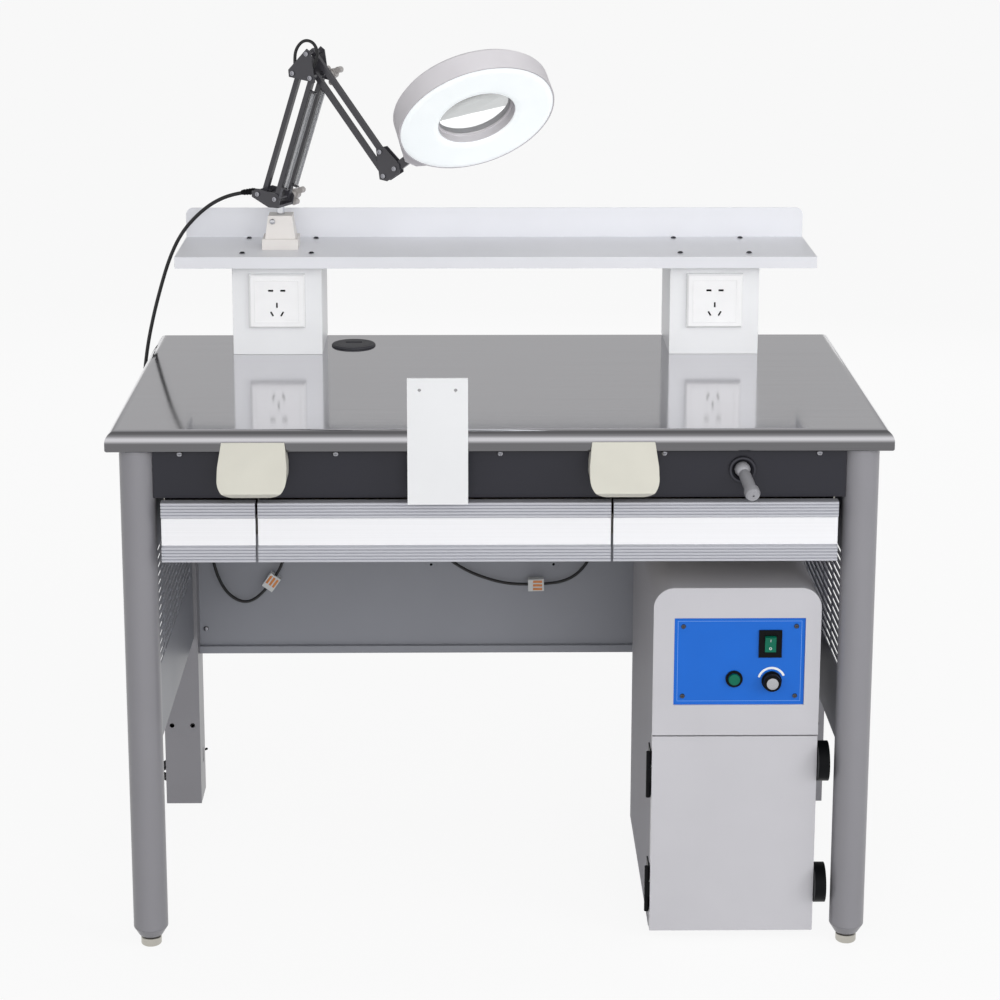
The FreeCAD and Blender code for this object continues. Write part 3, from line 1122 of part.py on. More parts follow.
# Collector chassis: floor, back and motor deck with its blower, standing on four pads
inside_x = ("collector_x + collector_wall", "collector_right - collector_wall")
back_in = "collector_back - collector_wall"
chassis = fuse(
    "chassis_sheet",
    block("chassis_floor", inside_x, ("shell_front", "collector_back"),
          ("collector_foot", "collector_foot + collector_wall")),
    block("chassis_back", inside_x, (back_in, "collector_back"),
          ("collector_foot", "collector_top - collector_round")),
    block("chassis_deck", inside_x, ("shell_front + 6", "collector_back"),
          ("deck_height", "deck_height + collector_wall")))
pads = [rod(f"pad_{x_name}_{y_name}", "z", (x, y), ("0", "collector_foot"), "foot_pad")
        for x_name, x in (("left", "collector_x + foot_pad_inset"),
                          ("right", "collector_right - foot_pad_inset"))
        for y_name, y in (("front", "shell_front + foot_pad_inset"),
                          ("back", "collector_back - foot_pad_inset"))]
deck_top = "deck_height + collector_wall"
motor = turned(
    "collector_motor",
    [("0", "0"), ("motor_radius + 12", "0"), ("motor_radius + 12", "4"), ("motor_radius", "4"),
     ("motor_radius", "motor_high - 10"), ("motor_radius - 10", "motor_high"), ("0", "motor_high")],
    ("works_x", "works_y", deck_top))
keep(group("collector_chassis", chassis, motor, *pads), "collector_chassis")

# Fascia with its window, and the blue control panel behind it
fascia_plate = arch("fascia_plate", "0", "fascia_low", ("collector_front", "panel_face"))
window = block("fascia_window", ("window_x", "window_x + window_wide"),
               ("collector_front - 1", "panel_face + 1"),
               ("window_z", "window_z + window_high"))
keep(cut("collector_fascia", fascia_plate, window), "collector_fascia")
panel_back = "panel_face + panel_thick"
panel_sheet = block("panel_body", ("window_x - window_ledge", "window_x + window_wide + window_ledge"),
                    ("panel_face", panel_back),
                    ("window_z - window_ledge", "window_z + window_high + window_ledge"))
rocker_opening = (("rocker_at - rocker_wide / 2 - rocker_play", "rocker_at + rocker_wide / 2 + rocker_play"),
                  ("collector_front - 1", f"{panel_back} + 1"),
                  ("rocker_z - rocker_high / 2 - rocker_room", "rocker_z + rocker_high / 2 + rocker_room"))
through = ("panel_face - 1", f"{panel_back} + 1")
keep(cut("control_panel", panel_sheet, block("panel_rocker_hole", *rocker_opening),
         rod("panel_button_hole", "y", ("button_at", "button_z"), through, "button_stem + shaft_play"),
         rod("panel_dial_hole", "y", ("dial_at", "dial_z"), through, "dial_shaft + shaft_play"),
         *screw_holes("window_screw_hole", WINDOW_SCREWS, "y", "panel_thick")), "control_panel")

# Switch bezels, rocker, push button and dial
frame_block = block("rocker_frame_block", ("rocker_at - frame_wide / 2", "rocker_at + frame_wide / 2"),
                    ("panel_face - bezel_out", "panel_face"),
                    ("rocker_z - frame_high / 2", "rocker_z + frame_high / 2"))
bezel_ring = cut(
    "button_bezel", rod("bezel_disc", "y", ("button_at", "button_z"),
                        ("panel_face - bezel_out", "panel_face"), "bezel_radius"),
    rod("bezel_bore", "y", ("button_at", "button_z"), ("panel_face - bezel_out - 1", "panel_face + 1"),
        "button_radius + button_play"))
pivot_y = "panel_face - bezel_out / 2"
pin_ends = ("rocker_at - rocker_wide / 2 - rocker_pin_long", "rocker_at + rocker_wide / 2 + rocker_pin_long")
rocker_bore = rod("rocker_bore", "x", (pivot_y, "rocker_z"), pin_ends, "rocker_pin + shaft_play")
keep(group("switch_bezels", cut("rocker_frame", frame_block, block("frame_opening", *rocker_opening),
                                rocker_bore),
           bezel_ring), "switch_bezels")
half_rocker, rocker_deep = number("rocker_high / 2"), number("rocker_deep")
rocker_profile = [Vector(0, 2, -half_rocker), Vector(0, -rocker_deep / 2, -half_rocker),
                  Vector(0, -rocker_deep / 3, 0),
                  Vector(0, -rocker_deep / 2, half_rocker), Vector(0, 2, half_rocker)]
rocker_paddle = Part.Face(Part.makePolygon(rocker_profile + rocker_profile[:1])).extrude(
    Vector(number("rocker_wide"), 0, 0))
rocker_paddle = rocker_paddle.fuse(Part.makeCylinder(
    number("rocker_pin"), number(f"{pin_ends[1]} - ({pin_ends[0]})"),
    Vector(-number("rocker_pin_long"), 0, 0),
    Vector(1, 0, 0)))
keep(feature("rocker", rocker_paddle, Placement(
    spot("rocker_at - rocker_wide / 2", pivot_y, "rocker_z"),
    Rotation(Vector(1, 0, 0), number("rocker_tilt")))),
     "rocker")
keep(turned("push_button",
            [("0", "-panel_thick - 6"), ("button_stem", "-panel_thick - 6"), ("button_stem", "button_out"),
             ("button_radius", "button_out"), ("button_radius", "bezel_out + button_out"),
             ("button_radius - 1.5", "bezel_out + button_out + 1.5"), ("0", "bezel_out + button_out + 1.5")],
            ("button_at", "panel_face", "button_z"), FACING_FRONT), "push_button")
keep(turned("dial_knob",
            [("0", "-panel_thick - shaft_behind"), ("dial_shaft", "-panel_thick - shaft_behind"),
             ("dial_shaft", "0.5"),
             ("dial_radius", "0.5"), ("dial_radius", "4"), ("dial_front", "6"), ("dial_front", "dial_deep"),
             ("dial_cap", "dial_deep"), ("dial_cap", "dial_deep + 1"), ("0", "dial_deep + 1")],
            ("dial_at", "panel_face", "dial_z"), FACING_FRONT), "dial_knob")

# Collector door: a folded tray with the middle knuckles of its two hinges
HINGES = (("upper", "hinge_upper"), ("lower", "hinge_lower"))
door_pan = cut(
    "door_pan", block("door_block", ("door_left", "door_right"), ("collector_front", "door_back"),
                      ("door_low", "door_top")),
    block("door_hollow", ("door_left + door_wall", "door_right - door_wall"),
          ("collector_front + door_wall", "door_back + 1"),
          ("door_low + door_wall", "door_top - door_wall")),
    *[rod(f"latch_hole_{name}", "x", ("latch_y", z), ("door_right - door_wall - 1", "door_right + 1"),
          "latch_shaft + shaft_play") for name, z in (("upper", "latch_upper"), ("lower", "latch_lower"))])
knuckles = []
pin_holes = []
hinge_sets = []
for name, z in HINGES:
    at = ("hinge_x", "hinge_y")
    third = "hinge_long / 6 - hinge_play"
    knuckles.append(rod(f"door_knuckle_{name}", "z", at, (f"{z} - ({third})", f"{z} + {third}"),
                        "hinge_barrel"))
    knuckles.append(block(f"door_leaf_{name}", ("hinge_x", "door_left"),
                          ("hinge_y - hinge_barrel", "hinge_y - hinge_barrel + 2"),
                          (f"{z} - ({third})", f"{z} + {third}")))
    pin_holes.append(rod(f"door_pin_hole_{name}", "z", at, (f"{z} - hinge_long / 2", f"{z} + hinge_long / 2"),
                         "hinge_pin + shaft_play"))
    fixed = [rod(f"hinge_pin_{name}", "z", at, (f"{z} - hinge_long / 2", f"{z} + hinge_long / 2"),
                 "hinge_pin")]
    for half, low, high in (("high", f"{z} + hinge_long / 6", f"{z} + hinge_long / 2"),
                            ("low", f"{z} - hinge_long / 2", f"{z} - hinge_long / 6")):
        fixed.append(rod(f"knuckle_{name}_{half}", "z", at, (low, high), "hinge_barrel"))
        fixed.append(block(f"leaf_{name}_{half}", ("collector_x - 2", "collector_x"),
                           ("hinge_y", "hinge_y + hinge_leaf"),
                           (low, high)))
    hinge_sets.append(fuse(f"hinge_{name}", *fixed))
keep(cut("collector_door", fuse("door_folded", door_pan, *knuckles), *pin_holes), "collector_door")
keep(group("door_hinges", *hinge_sets), "door_hinges")


# Door latches: a round knob whose hook turns up behind its striker
def door_latch(name, z):
    knob_x = "collector_right + hinge_play"
    hook_x = ("door_right - latch_inset - tongue_thick", "door_right - latch_inset")
    knob = rod(name + "_knob", "x", ("latch_y", z), (knob_x, f"{knob_x} + latch_thick"), "latch_radius")
    shaft = rod(name + "_shaft", "x", ("latch_y", z), (hook_x[0], knob_x), "latch_shaft")
    tongue = block(name + "_tongue", hook_x, ("latch_y - tongue_half", "latch_y + tongue_half"),
                   (f"{z} - tongue_long", f"{z} + tongue_half"))
    hook = block(name + "_hook", hook_x, ("latch_y + tongue_half", "latch_y + tongue_half + hook_out"),
                 (f"{z} - tongue_long", f"{z} - tongue_long + hook_long"))
    return fuse(name, knob, shaft, tongue, hook)


keep(door_latch("door_latch_upper", "latch_upper"), "door_latch_upper")
keep(door_latch("door_latch_lower", "latch_lower"), "door_latch_lower")

# Filter cartridge that hangs below the deck
keep(turned("collector_filter",
            [("0", "-filter_high"), ("filter_radius - 4", "-filter_high"),
             ("filter_radius", "4 - filter_high"),
             ("filter_radius", "-8"), ("filter_radius + 8", "-8"), ("filter_radius + 8", "0"), ("0", "0")],
            ("works_x", "works_y", "deck_height")), "collector_filter")

# Wiring loops below the drawers: cables between clips on the back panel, through lever connectors
FRONT = Vector(0, number("front"), 0)
LEFT_END = Vector(-number("end"), number("front"), 0)
wire = number("wire_radius")
clip_y = number("back_panel_y - clip_centre") - FRONT.y
LEFT_ROUTE = [(82, clip_y, 560), (80, 583, 515), (81, 579, 470), (86, 573, 426), (96, 568, 388),
              (113, 566, 359), (140, 566, 344), (167.2, 566, 358.5), (200.8, 566, 405.5), (207, 569, 437),
              (205, 575, 478), (202, 581, 519), (203, clip_y, 560)]
MIDDLE_ROUTE = [(-116, clip_y, 520), (-107, 580, 481), (-96, 575, 444), (-76, 571, 418), (-50, 568, 401),
                (-22, 566, 389), (9, 564.5, 380), (39, 564, 376.4), (95, 564, 377.6), (125, 565, 386),
                (147, 568, 405), (162, 572, 434), (171, 578, 474), (176, clip_y, 520)]
harness = []
fittings = []
link = 7
for name, route, corner in (("left", LEFT_ROUTE, LEFT_END), ("middle", MIDDLE_ROUTE, FRONT)):
    points = [Vector(*point) + corner for point in route]
    harness.append(cord_tube("harness " + name, points, wire))
    run = points[link + 1] - points[link]
    frame = Placement((points[link] + points[link + 1]) * 0.5, Rotation(Vector(1, 0, 0), run))
    long, wide, thick = number("connector_long"), number("connector_wide"), number("connector_thick")
    casing = Part.makeBox(long, thick, wide, Vector(-long / 2, -thick / 2, -wide / 2))
    bore_shape = Part.makeCylinder(wire + number("wire_play"), long + 2, Vector(-long / 2 - 1, 0, 0),
                                   Vector(1, 0, 0))
    connector = casing.cut(bore_shape)
    connector.Placement = frame
    fittings.append(connector)
    size = number("clip_size")
    for end in (points[0], points[-1]):
        fittings.append(Part.makeBox(size, number("clip_deep"), size, Vector(
            end.x - size / 2, number("back_panel_y - clip_deep"), end.z)))
keep(feature("harness", Part.makeCompound(harness)), "harness")
keep(feature("harness_fittings", Part.makeCompound(fittings)), "harness_fittings")

# Lamp cord: from the bracket's gland, over the shelf's left end and down to the floor
gland_end = LAMP.multVec(Vector(-number("gland_reach + gland_gap"), 0, gland_low.z))
CORD_ROUTE = [(137, 593, 1021), (101, 603, 1006), (70, 609, 981), (44, 616, 950), (24, 625, 909),
              (8, 636, 861), (-7, 648, 810), (-20, 655, 753), (-27, 654, 692), (-29, 650, 628),
              (-27, 645, 560), (-29, 640, 490), (-30, 635, 420), (-28, 631, 350), (-30, 627, 280),
              (-29, 623, 212), (-31, 619, 150), (-30, 616, 100), (-30, 617, 58), (-31, 625, 24),
              (-30, 648, 3), (-30, 676, 3)]
cord = number("cord_radius")
cord_points = [gland_end] + [Vector(*point) + LEFT_END for point in CORD_ROUTE]
keep(feature("lamp_cord", cord_tube("lamp cord", cord_points, cord)), "lamp_cord")

# Cord coil: two layers that spiral in, climb in half a turn and spiral out again, then a straight tail
coil_start = cord_points[-1]
outer, pitch = number("coil_outer"), number("coil_pitch")
coil_centre = coil_start + Vector(outer, 0, 0)
layer_turns = number("coil_layer_turns")
total = 2 * layer_turns + 0.5
steps = round(total * 4)


def coil_point(turn):
    """Point of the coil after some turns from its outer start, clockwise from above."""
    climb = min(max((turn - layer_turns) / 0.5, 0), 1)
    inward = min(turn, total / 2) - max(turn - total / 2, 0)
    radius = outer - pitch * inward
    angle = math.pi - 2 * math.pi * turn
    lift = pitch * (1 - math.cos(math.pi * climb)) / 2
    return coil_centre + Vector(radius * math.cos(angle), radius * math.sin(angle), lift)


nudge = 0.001
stations = [(coil_start, Vector(0, 1, 0)), (coil_start + Vector(0, 2 * cord, 0), Vector(0, 1, 0))]
coil_centre = coil_centre + Vector(0, 2 * cord, 0)
for step in range(1, steps + 1):
    turn = total * step / steps
    travel = (coil_point(turn) - coil_point(turn - nudge)).normalize()
    level = Vector(travel.x, travel.y, 0).normalize()
    stations.append((coil_point(turn), level if step == steps else travel))
tail_heading = stations[-1][1]
plug_at = stations[-1][0] + tail_heading * number("coil_tail")
stations.append((plug_at, tail_heading))
coil_path = Part.Wire(wound_path(stations))
coil = piped(coil_path, coil_start, Vector(0, 1, 0), cord)
coil_gap = least_gap(coil_path, 2 * cord, 12 * cord)
coil_share = coil.Volume / (math.pi * cord ** 2 * coil_path.Length)
print(f"cord coil: length {coil_path.Length:.0f}, least gap {coil_gap:.2f}, volume share {coil_share:.4f}")
keep(feature("cord_coil", coil), "cord_coil")

# Plug: a round two-pin plug at the end of the coil's tail
plug_body = turned("plug_body", [
    ("0", "0"), ("cord_radius + 1", "0"), ("plug_radius - 2", "plug_long * 0.4"),
    ("plug_radius", "plug_long * 0.5"),
    ("plug_radius", "plug_long"), ("0", "plug_long")])
pins = [rod(f"plug_pin_{side}", "z", (x, "0"), ("plug_long", "plug_long + plug_pin_long"), "plug_pin")
        for side, x in (("left", "-plug_pin_apart"), ("right", "plug_pin_apart"))]
plug = fuse("cord_plug", plug_body, *pins)
level_pins = Rotation(Vector(0, 0, 1), math.degrees(math.atan2(tail_heading.y, tail_heading.x)) - 90)
plug.Placement = Placement(plug_at, level_pins * TURNS["y"])
keep(plug, "cord_plug")

# Check every object, then write each sub-part to its own file
doc.recompute()
for item in doc.Objects:
    if "Invalid" in item.State or "Error" in item.State:
        raise RuntimeError(f"{item.Name} failed: {item.State}")
for part in parts:
    if part.Shape.isNull() or not part.Shape.isValid():
        raise RuntimeError(f"{part.Label} has no valid shape")
os.makedirs("parts", exist_ok=True)
for part in parts:
    part.Shape.exportStep(os.path.join("parts", part.Label + ".step"))
print(f"{len(parts)} sub-parts written")
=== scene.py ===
import json
import math

import bpy
from mathutils import Matrix, Vector


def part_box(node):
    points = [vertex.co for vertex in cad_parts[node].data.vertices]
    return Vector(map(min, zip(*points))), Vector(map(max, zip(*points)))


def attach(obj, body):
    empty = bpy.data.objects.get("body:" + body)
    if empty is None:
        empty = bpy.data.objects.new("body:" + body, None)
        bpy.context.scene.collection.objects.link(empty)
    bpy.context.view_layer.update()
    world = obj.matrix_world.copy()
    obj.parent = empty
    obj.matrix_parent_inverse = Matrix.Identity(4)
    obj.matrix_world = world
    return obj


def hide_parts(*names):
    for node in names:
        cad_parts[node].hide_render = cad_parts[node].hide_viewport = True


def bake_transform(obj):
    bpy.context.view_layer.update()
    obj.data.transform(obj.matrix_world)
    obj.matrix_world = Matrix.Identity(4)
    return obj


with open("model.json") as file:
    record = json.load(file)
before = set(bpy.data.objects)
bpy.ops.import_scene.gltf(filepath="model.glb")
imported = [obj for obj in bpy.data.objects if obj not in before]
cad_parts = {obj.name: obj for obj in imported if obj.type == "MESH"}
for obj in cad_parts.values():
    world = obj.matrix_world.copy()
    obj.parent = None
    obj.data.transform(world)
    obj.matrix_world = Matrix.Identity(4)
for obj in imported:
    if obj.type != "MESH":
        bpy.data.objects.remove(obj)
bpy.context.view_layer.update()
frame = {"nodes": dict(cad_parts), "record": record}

# Studio: a pale seamless floor under soft light, seen by a long lens from a little above the worktop.
# The floor is matt white paint, white to the lens, in metal and through glass, with a soft shadow.
MM = 0.001
WHITE = (1.0, 1.0, 1.0, 1.0)
FLOOR_SIZE, FLOOR_BACK = 80, 20
FLOOR_GLOW, FLOOR_TONE, FLOOR_BOUNCE = 0.9, 0.88, 0.42


def linear(colour, tone=1.0):
    """Linear colour of an sRGB hex value, made darker or lighter by a tone."""
    shares = [int(colour[i:i + 2], 16) / 255 for i in (1, 3, 5)]
    return [tone * (c / 12.92 if c <= 0.04045 else ((c + 0.055) / 1.055) ** 2.4) for c in shares] + [1.0]


def feed(tree, node, inputs):
    """Set a node's inputs to values, or link them to other nodes' outputs."""
    for name, value in inputs.items():
        if isinstance(value, bpy.types.NodeSocket):
            tree.links.new(value, node.inputs[name])
        else:
            node.inputs[name].default_value = value


def add_node(tree, kind, inputs=None, **settings):
    """Node with its settings and its inputs."""
    node = tree.nodes.new(kind)
    for name, value in settings.items():
        setattr(node, name, value)
    feed(tree, node, inputs or {})
    return node


def combined(tree, operation, first, second):
    """Result of an operation on two values or outputs."""
    return add_node(tree, "ShaderNodeMath", {0: first, 1: second}, operation=operation).outputs[0]


def ranged(tree, value, low, high, start=0.0, stop=1.0, **settings):
    """Value that goes from low to high while another goes from start to stop."""
    return add_node(tree, "ShaderNodeMapRange", {
        "Value": value, "From Min": start, "From Max": stop, "To Min": low, "To Max": high},
        **settings).outputs[0]


def take(piece):
    """Make a piece the only one selected."""
    bpy.ops.object.select_all(action="DESELECT")
    piece.select_set(True)
    bpy.context.view_layer.objects.active = piece


def fresh(operator, **settings):
    """New piece from one of the mesh operators, the only one selected."""
    bpy.ops.object.select_all(action="DESELECT")
    operator(**settings)
    return bpy.context.object


bpy.context.scene.view_settings.view_transform = "Standard"
floor = fresh(bpy.ops.mesh.primitive_plane_add, size=FLOOR_SIZE, location=(0, FLOOR_BACK, 0))
floor.name = "studio_floor"
floor_paint = bpy.data.materials.new("matt_floor_paint")
floor_paint.use_nodes = True
tree = floor_paint.node_tree
tree.nodes.clear()
rays = add_node(tree, "ShaderNodeLightPath").outputs
seen = combined(tree, "MAXIMUM", rays["Is Camera Ray"], rays["Is Transmission Ray"])
share = combined(tree, "MAXIMUM", combined(tree, "MULTIPLY", seen, FLOOR_GLOW), rays["Is Glossy Ray"])
tone = ranged(tree, rays["Is Diffuse Ray"], FLOOR_TONE, FLOOR_BOUNCE)
matt = add_node(tree, "ShaderNodeBsdfDiffuse", {"Color": tone})
glow = add_node(tree, "ShaderNodeEmission", {"Color": WHITE, "Strength": 1.0})
both = add_node(tree, "ShaderNodeMixShader", {0: share, 1: matt.outputs[0], 2: glow.outputs[0]})
add_node(tree, "ShaderNodeOutputMaterial", {"Surface": both.outputs[0]})
floor.data.materials.append(floor_paint)

room = bpy.data.worlds.new("soft_room")
bpy.context.scene.world = room
room.use_nodes = True
tree = room.node_tree
tree.nodes.clear()
towards = add_node(tree, "ShaderNodeTexCoord").outputs["Generated"]
way = add_node(tree, "ShaderNodeSeparateXYZ", {"Vector": towards}).outputs
walls = ranged(tree, way["Y"], 1.0, 0.5, start=-0.5, stop=-0.1)
roof = ranged(tree, way["Z"], 1.0, 0.35, start=0.5, stop=0.85)
level = combined(tree, "MULTIPLY", walls, roof)
sky = add_node(tree, "ShaderNodeBackground", {"Color": WHITE, "Strength": level})
add_node(tree, "ShaderNodeOutputWorld", {"Surface": sky.outputs[0]})


def soft_light(name, place, target, width, height, power):
    """Large soft box aimed at a point, behind a scrim that metal doesn't mirror."""
    lamp = bpy.data.lights.new(name, "AREA")
    lamp.shape = "RECTANGLE"
    lamp.size = width
    lamp.size_y = height
    lamp.energy = power
    box = bpy.data.objects.new(name, lamp)
    box.location = place
    box.rotation_euler = (Vector(target) - Vector(place)).to_track_quat("-Z", "Y").to_euler()
    box.visible_glossy = False
    bpy.context.scene.collection.objects.link(box)


soft_light("front_box", (0.3, -4.2, 1.5), (0.0, 0.0, 0.7), width=3.0, height=2.4, power=62)
soft_light("side_box", (2.8, -2.0, 1.6), (0.1, 0.0, 0.6), width=1.6, height=1.8, power=22)
soft_light("top_box", (0.2, 0.1, 3.3), (0.0, 0.1, 0.8), width=2.6, height=1.8, power=11)
soft_light("back_box", (0.4, 3.8, 1.8), (0.0, 0.0, 0.7), width=2.6, height=2.0, power=20)

lens_mm, sensor_mm, lens_shift = 91.55, 36.0, -0.15
camera_place = (-0.051, -3.723, 1.658)
yaw, pitch, roll = math.radians(0.84), math.radians(12.55), math.radians(0.10)
camera = bpy.data.objects.new("bench_camera", bpy.data.cameras.new("bench_camera"))
camera.data.lens = lens_mm
camera.data.sensor_width = sensor_mm
camera.data.sensor_fit = "HORIZONTAL"
camera.data.shift_y = lens_shift
camera.matrix_world = (Matrix.Translation(camera_place) @ Matrix.Rotation(-yaw, 4, "Z")
                       @ Matrix.Rotation(math.pi / 2 - pitch, 4, "X") @ Matrix.Rotation(roll, 4, "Z"))
bpy.context.scene.collection.objects.link(camera)
bpy.context.scene.camera = camera

# Front legs: round steel tubes in satin grey powder paint, set under the worktop's front corners.
# Each ends in a turned cone plug of the same paint over a zinc-plated levelling foot.
BODIES = {node: body for body, nodes in frame["record"]["behaviour"]["bodies"].items() for node in nodes}
FACING = 0.9


def new_finish(name):
    """Material with its shader and the object's own coordinates."""
    material = bpy.data.materials.new(name)
    material.use_nodes = True
    tree = material.node_tree
    place = add_node(tree, "ShaderNodeTexCoord").outputs["Object"]
    return material, tree, tree.nodes["Principled BSDF"], place


def noise(tree, place, size, detail):
    """Noise whose coarsest grains are a size in millimetres."""
    return add_node(tree, "ShaderNodeTexNoise", {
        "Vector": place, "Scale": 1 / (size * MM), "Detail": detail}).outputs["Fac"]


def tinted(tree, share, dark, light, ends=(0.0, 1.0), blend="LINEAR"):
    """Colour that goes from a dark to a light one with a share."""
    ramp = add_node(tree, "ShaderNodeValToRGB", {"Fac": share})
    ramp.color_ramp.interpolation = blend
    for index, colour in enumerate((dark, light)):
        ramp.color_ramp.elements[index].position = ends[index]
        ramp.color_ramp.elements[index].color = colour
    return ramp.outputs["Color"]


def bumped(tree, height, strength, depth):
    """Normal bent by a height, over a depth in millimetres."""
    return add_node(tree, "ShaderNodeBump", {
        "Height": height, "Strength": strength, "Distance": depth * MM}).outputs["Normal"]


def powder_paint(name, colour, rough, peel=1.8, depth=0.03, shine=0.5, cloud=140):
    """Baked powder paint: an even colour, faintly clouded, with a fine orange peel in its highlights."""
    material, tree, shader, place = new_finish(name)
    grain = noise(tree, place, peel, 2.0)
    clouded = noise(tree, place, cloud, 3.0)
    feed(tree, shader, {
        "Base Color": tinted(tree, clouded, linear(colour, 0.95), linear(colour, 1.04), blend="EASE"),
        "Roughness": ranged(tree, clouded, rough - 0.06, rough + 0.06),
        "Specular IOR Level": shine, "Normal": bumped(tree, grain, 0.35, depth)})
    return material


def plated_steel(name, colour, rough, streak=0.6, cloud=25):
    """Plated or drawn steel: a metal with soft streaks and a little cloud in its polish."""
    material, tree, shader, place = new_finish(name)
    grain = noise(tree, place, streak, 3.0)
    clouded = noise(tree, place, cloud, 2.0)
    feed(tree, shader, {
        "Base Color": tinted(tree, clouded, linear(colour, 0.9), linear(colour, 1.06)),
        "Roughness": ranged(tree, grain, rough * 0.7, rough * 1.3), "Metallic": 1.0})
    return material


def dress(piece, material, node, *replaced):
    """Paint a piece, let it ride with a node's body, and hide what it stands for."""
    piece.data.materials.clear()
    piece.data.materials.append(material)
    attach(piece, BODIES[node])
    if replaced:
        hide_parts(*replaced)
    return piece


def cad_copy(node, name, seam=0.01, flat=0.3):
    """Copy of a CAD mesh with its seams merged and its flat faces made whole."""
    piece = bpy.data.objects.new(name, frame["nodes"][node].data.copy())
    bpy.context.scene.collection.objects.link(piece)
    take(piece)
    bpy.ops.mesh.customdata_custom_splitnormals_clear()
    bpy.ops.object.mode_set(mode="EDIT")
    bpy.ops.mesh.select_all(action="SELECT")
    bpy.ops.mesh.remove_doubles(threshold=seam * MM)
    bpy.ops.mesh.dissolve_limited(angle_limit=math.radians(flat))
    bpy.ops.object.mode_set(mode="OBJECT")
    return piece


def ease_edges(piece, edge, angle=30, segments=2):
    """Break the sharp edges by a radius in millimetres and shade the rest evenly."""
    take(piece)
    if edge:
        bevel = piece.modifiers.new("broken_edges", "BEVEL")
        bevel.width = edge * MM
        bevel.segments = segments
        bevel.limit_method = "ANGLE"
        bevel.angle_limit = math.radians(angle)
        bpy.ops.object.modifier_apply(modifier=bevel.name)
    bpy.ops.object.shade_smooth_by_angle(angle=math.radians(angle))
    even = piece.modifiers.new("even_faces", "WEIGHTED_NORMAL")
    even.keep_sharp = True
    bpy.ops.object.modifier_apply(modifier=even.name)


def eased(node, material, edge=0.5, angle=30, segments=2):
    """CAD piece with its sharp edges broken, in its finish."""
    piece = cad_copy(node, node + "_finished")
    ease_edges(piece, edge, angle, segments)
    return dress(piece, material, node, node)


def pick(piece, test):
    """Select, in edit mode, the faces whose centre and normal pass a test."""
    take(piece)
    bpy.context.tool_settings.mesh_select_mode = (False, False, True)
    bpy.ops.object.mode_set(mode="EDIT")
    bpy.ops.mesh.select_all(action="DESELECT")
    bpy.ops.object.mode_set(mode="OBJECT")
    for face in piece.data.polygons:
        face.select = test(face.center, face.normal)
    bpy.ops.object.mode_set(mode="EDIT")


def keep_faces(piece, test):
    """Keep the faces whose centre and normal pass a test."""
    pick(piece, lambda centre, normal: not test(centre, normal))
    bpy.ops.mesh.delete(type="FACE")
    bpy.ops.object.mode_set(mode="OBJECT")


def repaint(piece, material, test):
    """Give the faces that pass a test a second finish."""
    piece.data.materials.append(material)
    pick(piece, test)
    piece.active_material_index = len(piece.data.materials) - 1
    bpy.ops.object.material_slot_assign()
    bpy.ops.object.mode_set(mode="OBJECT")


leg_paint = powder_paint("satin_grey_powder_paint", "#8A898E", 0.34)
zinc_plate = plated_steel("zinc_plated_steel", "#B9B6AE", 0.3)
eased("front_legs", leg_paint, 0.4)
foot_top, near = 16 * MM, 0.1 * MM
leg_plugs = cad_copy("leg_feet", "leg_plugs")
keep_faces(leg_plugs, lambda centre, normal: centre.z > foot_top - near and not (
    normal.z > FACING and centre.z < foot_top + near))
ease_edges(leg_plugs, 0.6)
dress(leg_plugs, leg_paint, "front_legs")
leg_feet = cad_copy("leg_feet", "levelling_feet")
keep_faces(leg_feet, lambda centre, normal: centre.z < foot_top + near and not (
    normal.z < -FACING and centre.z > foot_top - near))
ease_edges(leg_feet, 1.0, segments=3)
dress(leg_feet, zinc_plate, "leg_feet", "leg_feet")

# Rear legs: folded steel box sections in the same grey paint, drilled low down for a stretcher.
# Their corners are folded to a small radius and the punched holes a little broken on the face.
eased("rear_legs", leg_paint, 0.8)

# Side and back panels: thin steel sheets in satin blue-grey paint, screwed between the legs.
# The sides are punched with rows of vent slots and the back has a hemmed bottom edge.
panel_paint = powder_paint("satin_blue_grey_powder_paint", "#7E8088", 0.4)
eased("side_panels", panel_paint, 0.0)
# The back panel's paint is a lighter copy of the sides' blue-grey: painted light against the shade under the
# bench.
back_paint_painted_light = powder_paint("blue_grey_powder_paint_painted_light", "#92949C", 0.4)
eased("back_panel", back_paint_painted_light, 0.4)

# Frame rails and apron: dark satin-painted steel under the front edge, coped to the legs.
# The apron is one flat sheet held by a row of dome-headed screws along its top.
charcoal_paint = powder_paint("charcoal_powder_paint", "#23232B", 0.38, shine=0.35)
eased("frame_rails", charcoal_paint, 0.6)
eased("apron", charcoal_paint, 0.4)

# Worktop: a chipboard core under one stainless steel sheet, wrapped down over rounded edges.
# The steel is brushed along its length, so its reflections are soft and drawn out. Down the drop of the
# wrapped edge its colour is painted darker: painted shade, standing in for a dark reflection.
EDGE_UNSHADED_DEPTH, EDGE_SHADE_DEPTH, EDGE_PAINTED_SHADE_TONE = 12.0, 18.0, 0.26


def drawn_noise(tree, place, length, width, detail):
    """Noise drawn out along X, its streaks a length and a width in millimetres."""
    across = 1 / (width * MM)
    drawn = add_node(tree, "ShaderNodeMapping", {
        "Vector": place, "Scale": (1 / (length * MM), across, across)})
    return add_node(tree, "ShaderNodeTexNoise", {
        "Vector": drawn.outputs[0], "Scale": 1.0, "Detail": detail}).outputs["Fac"]


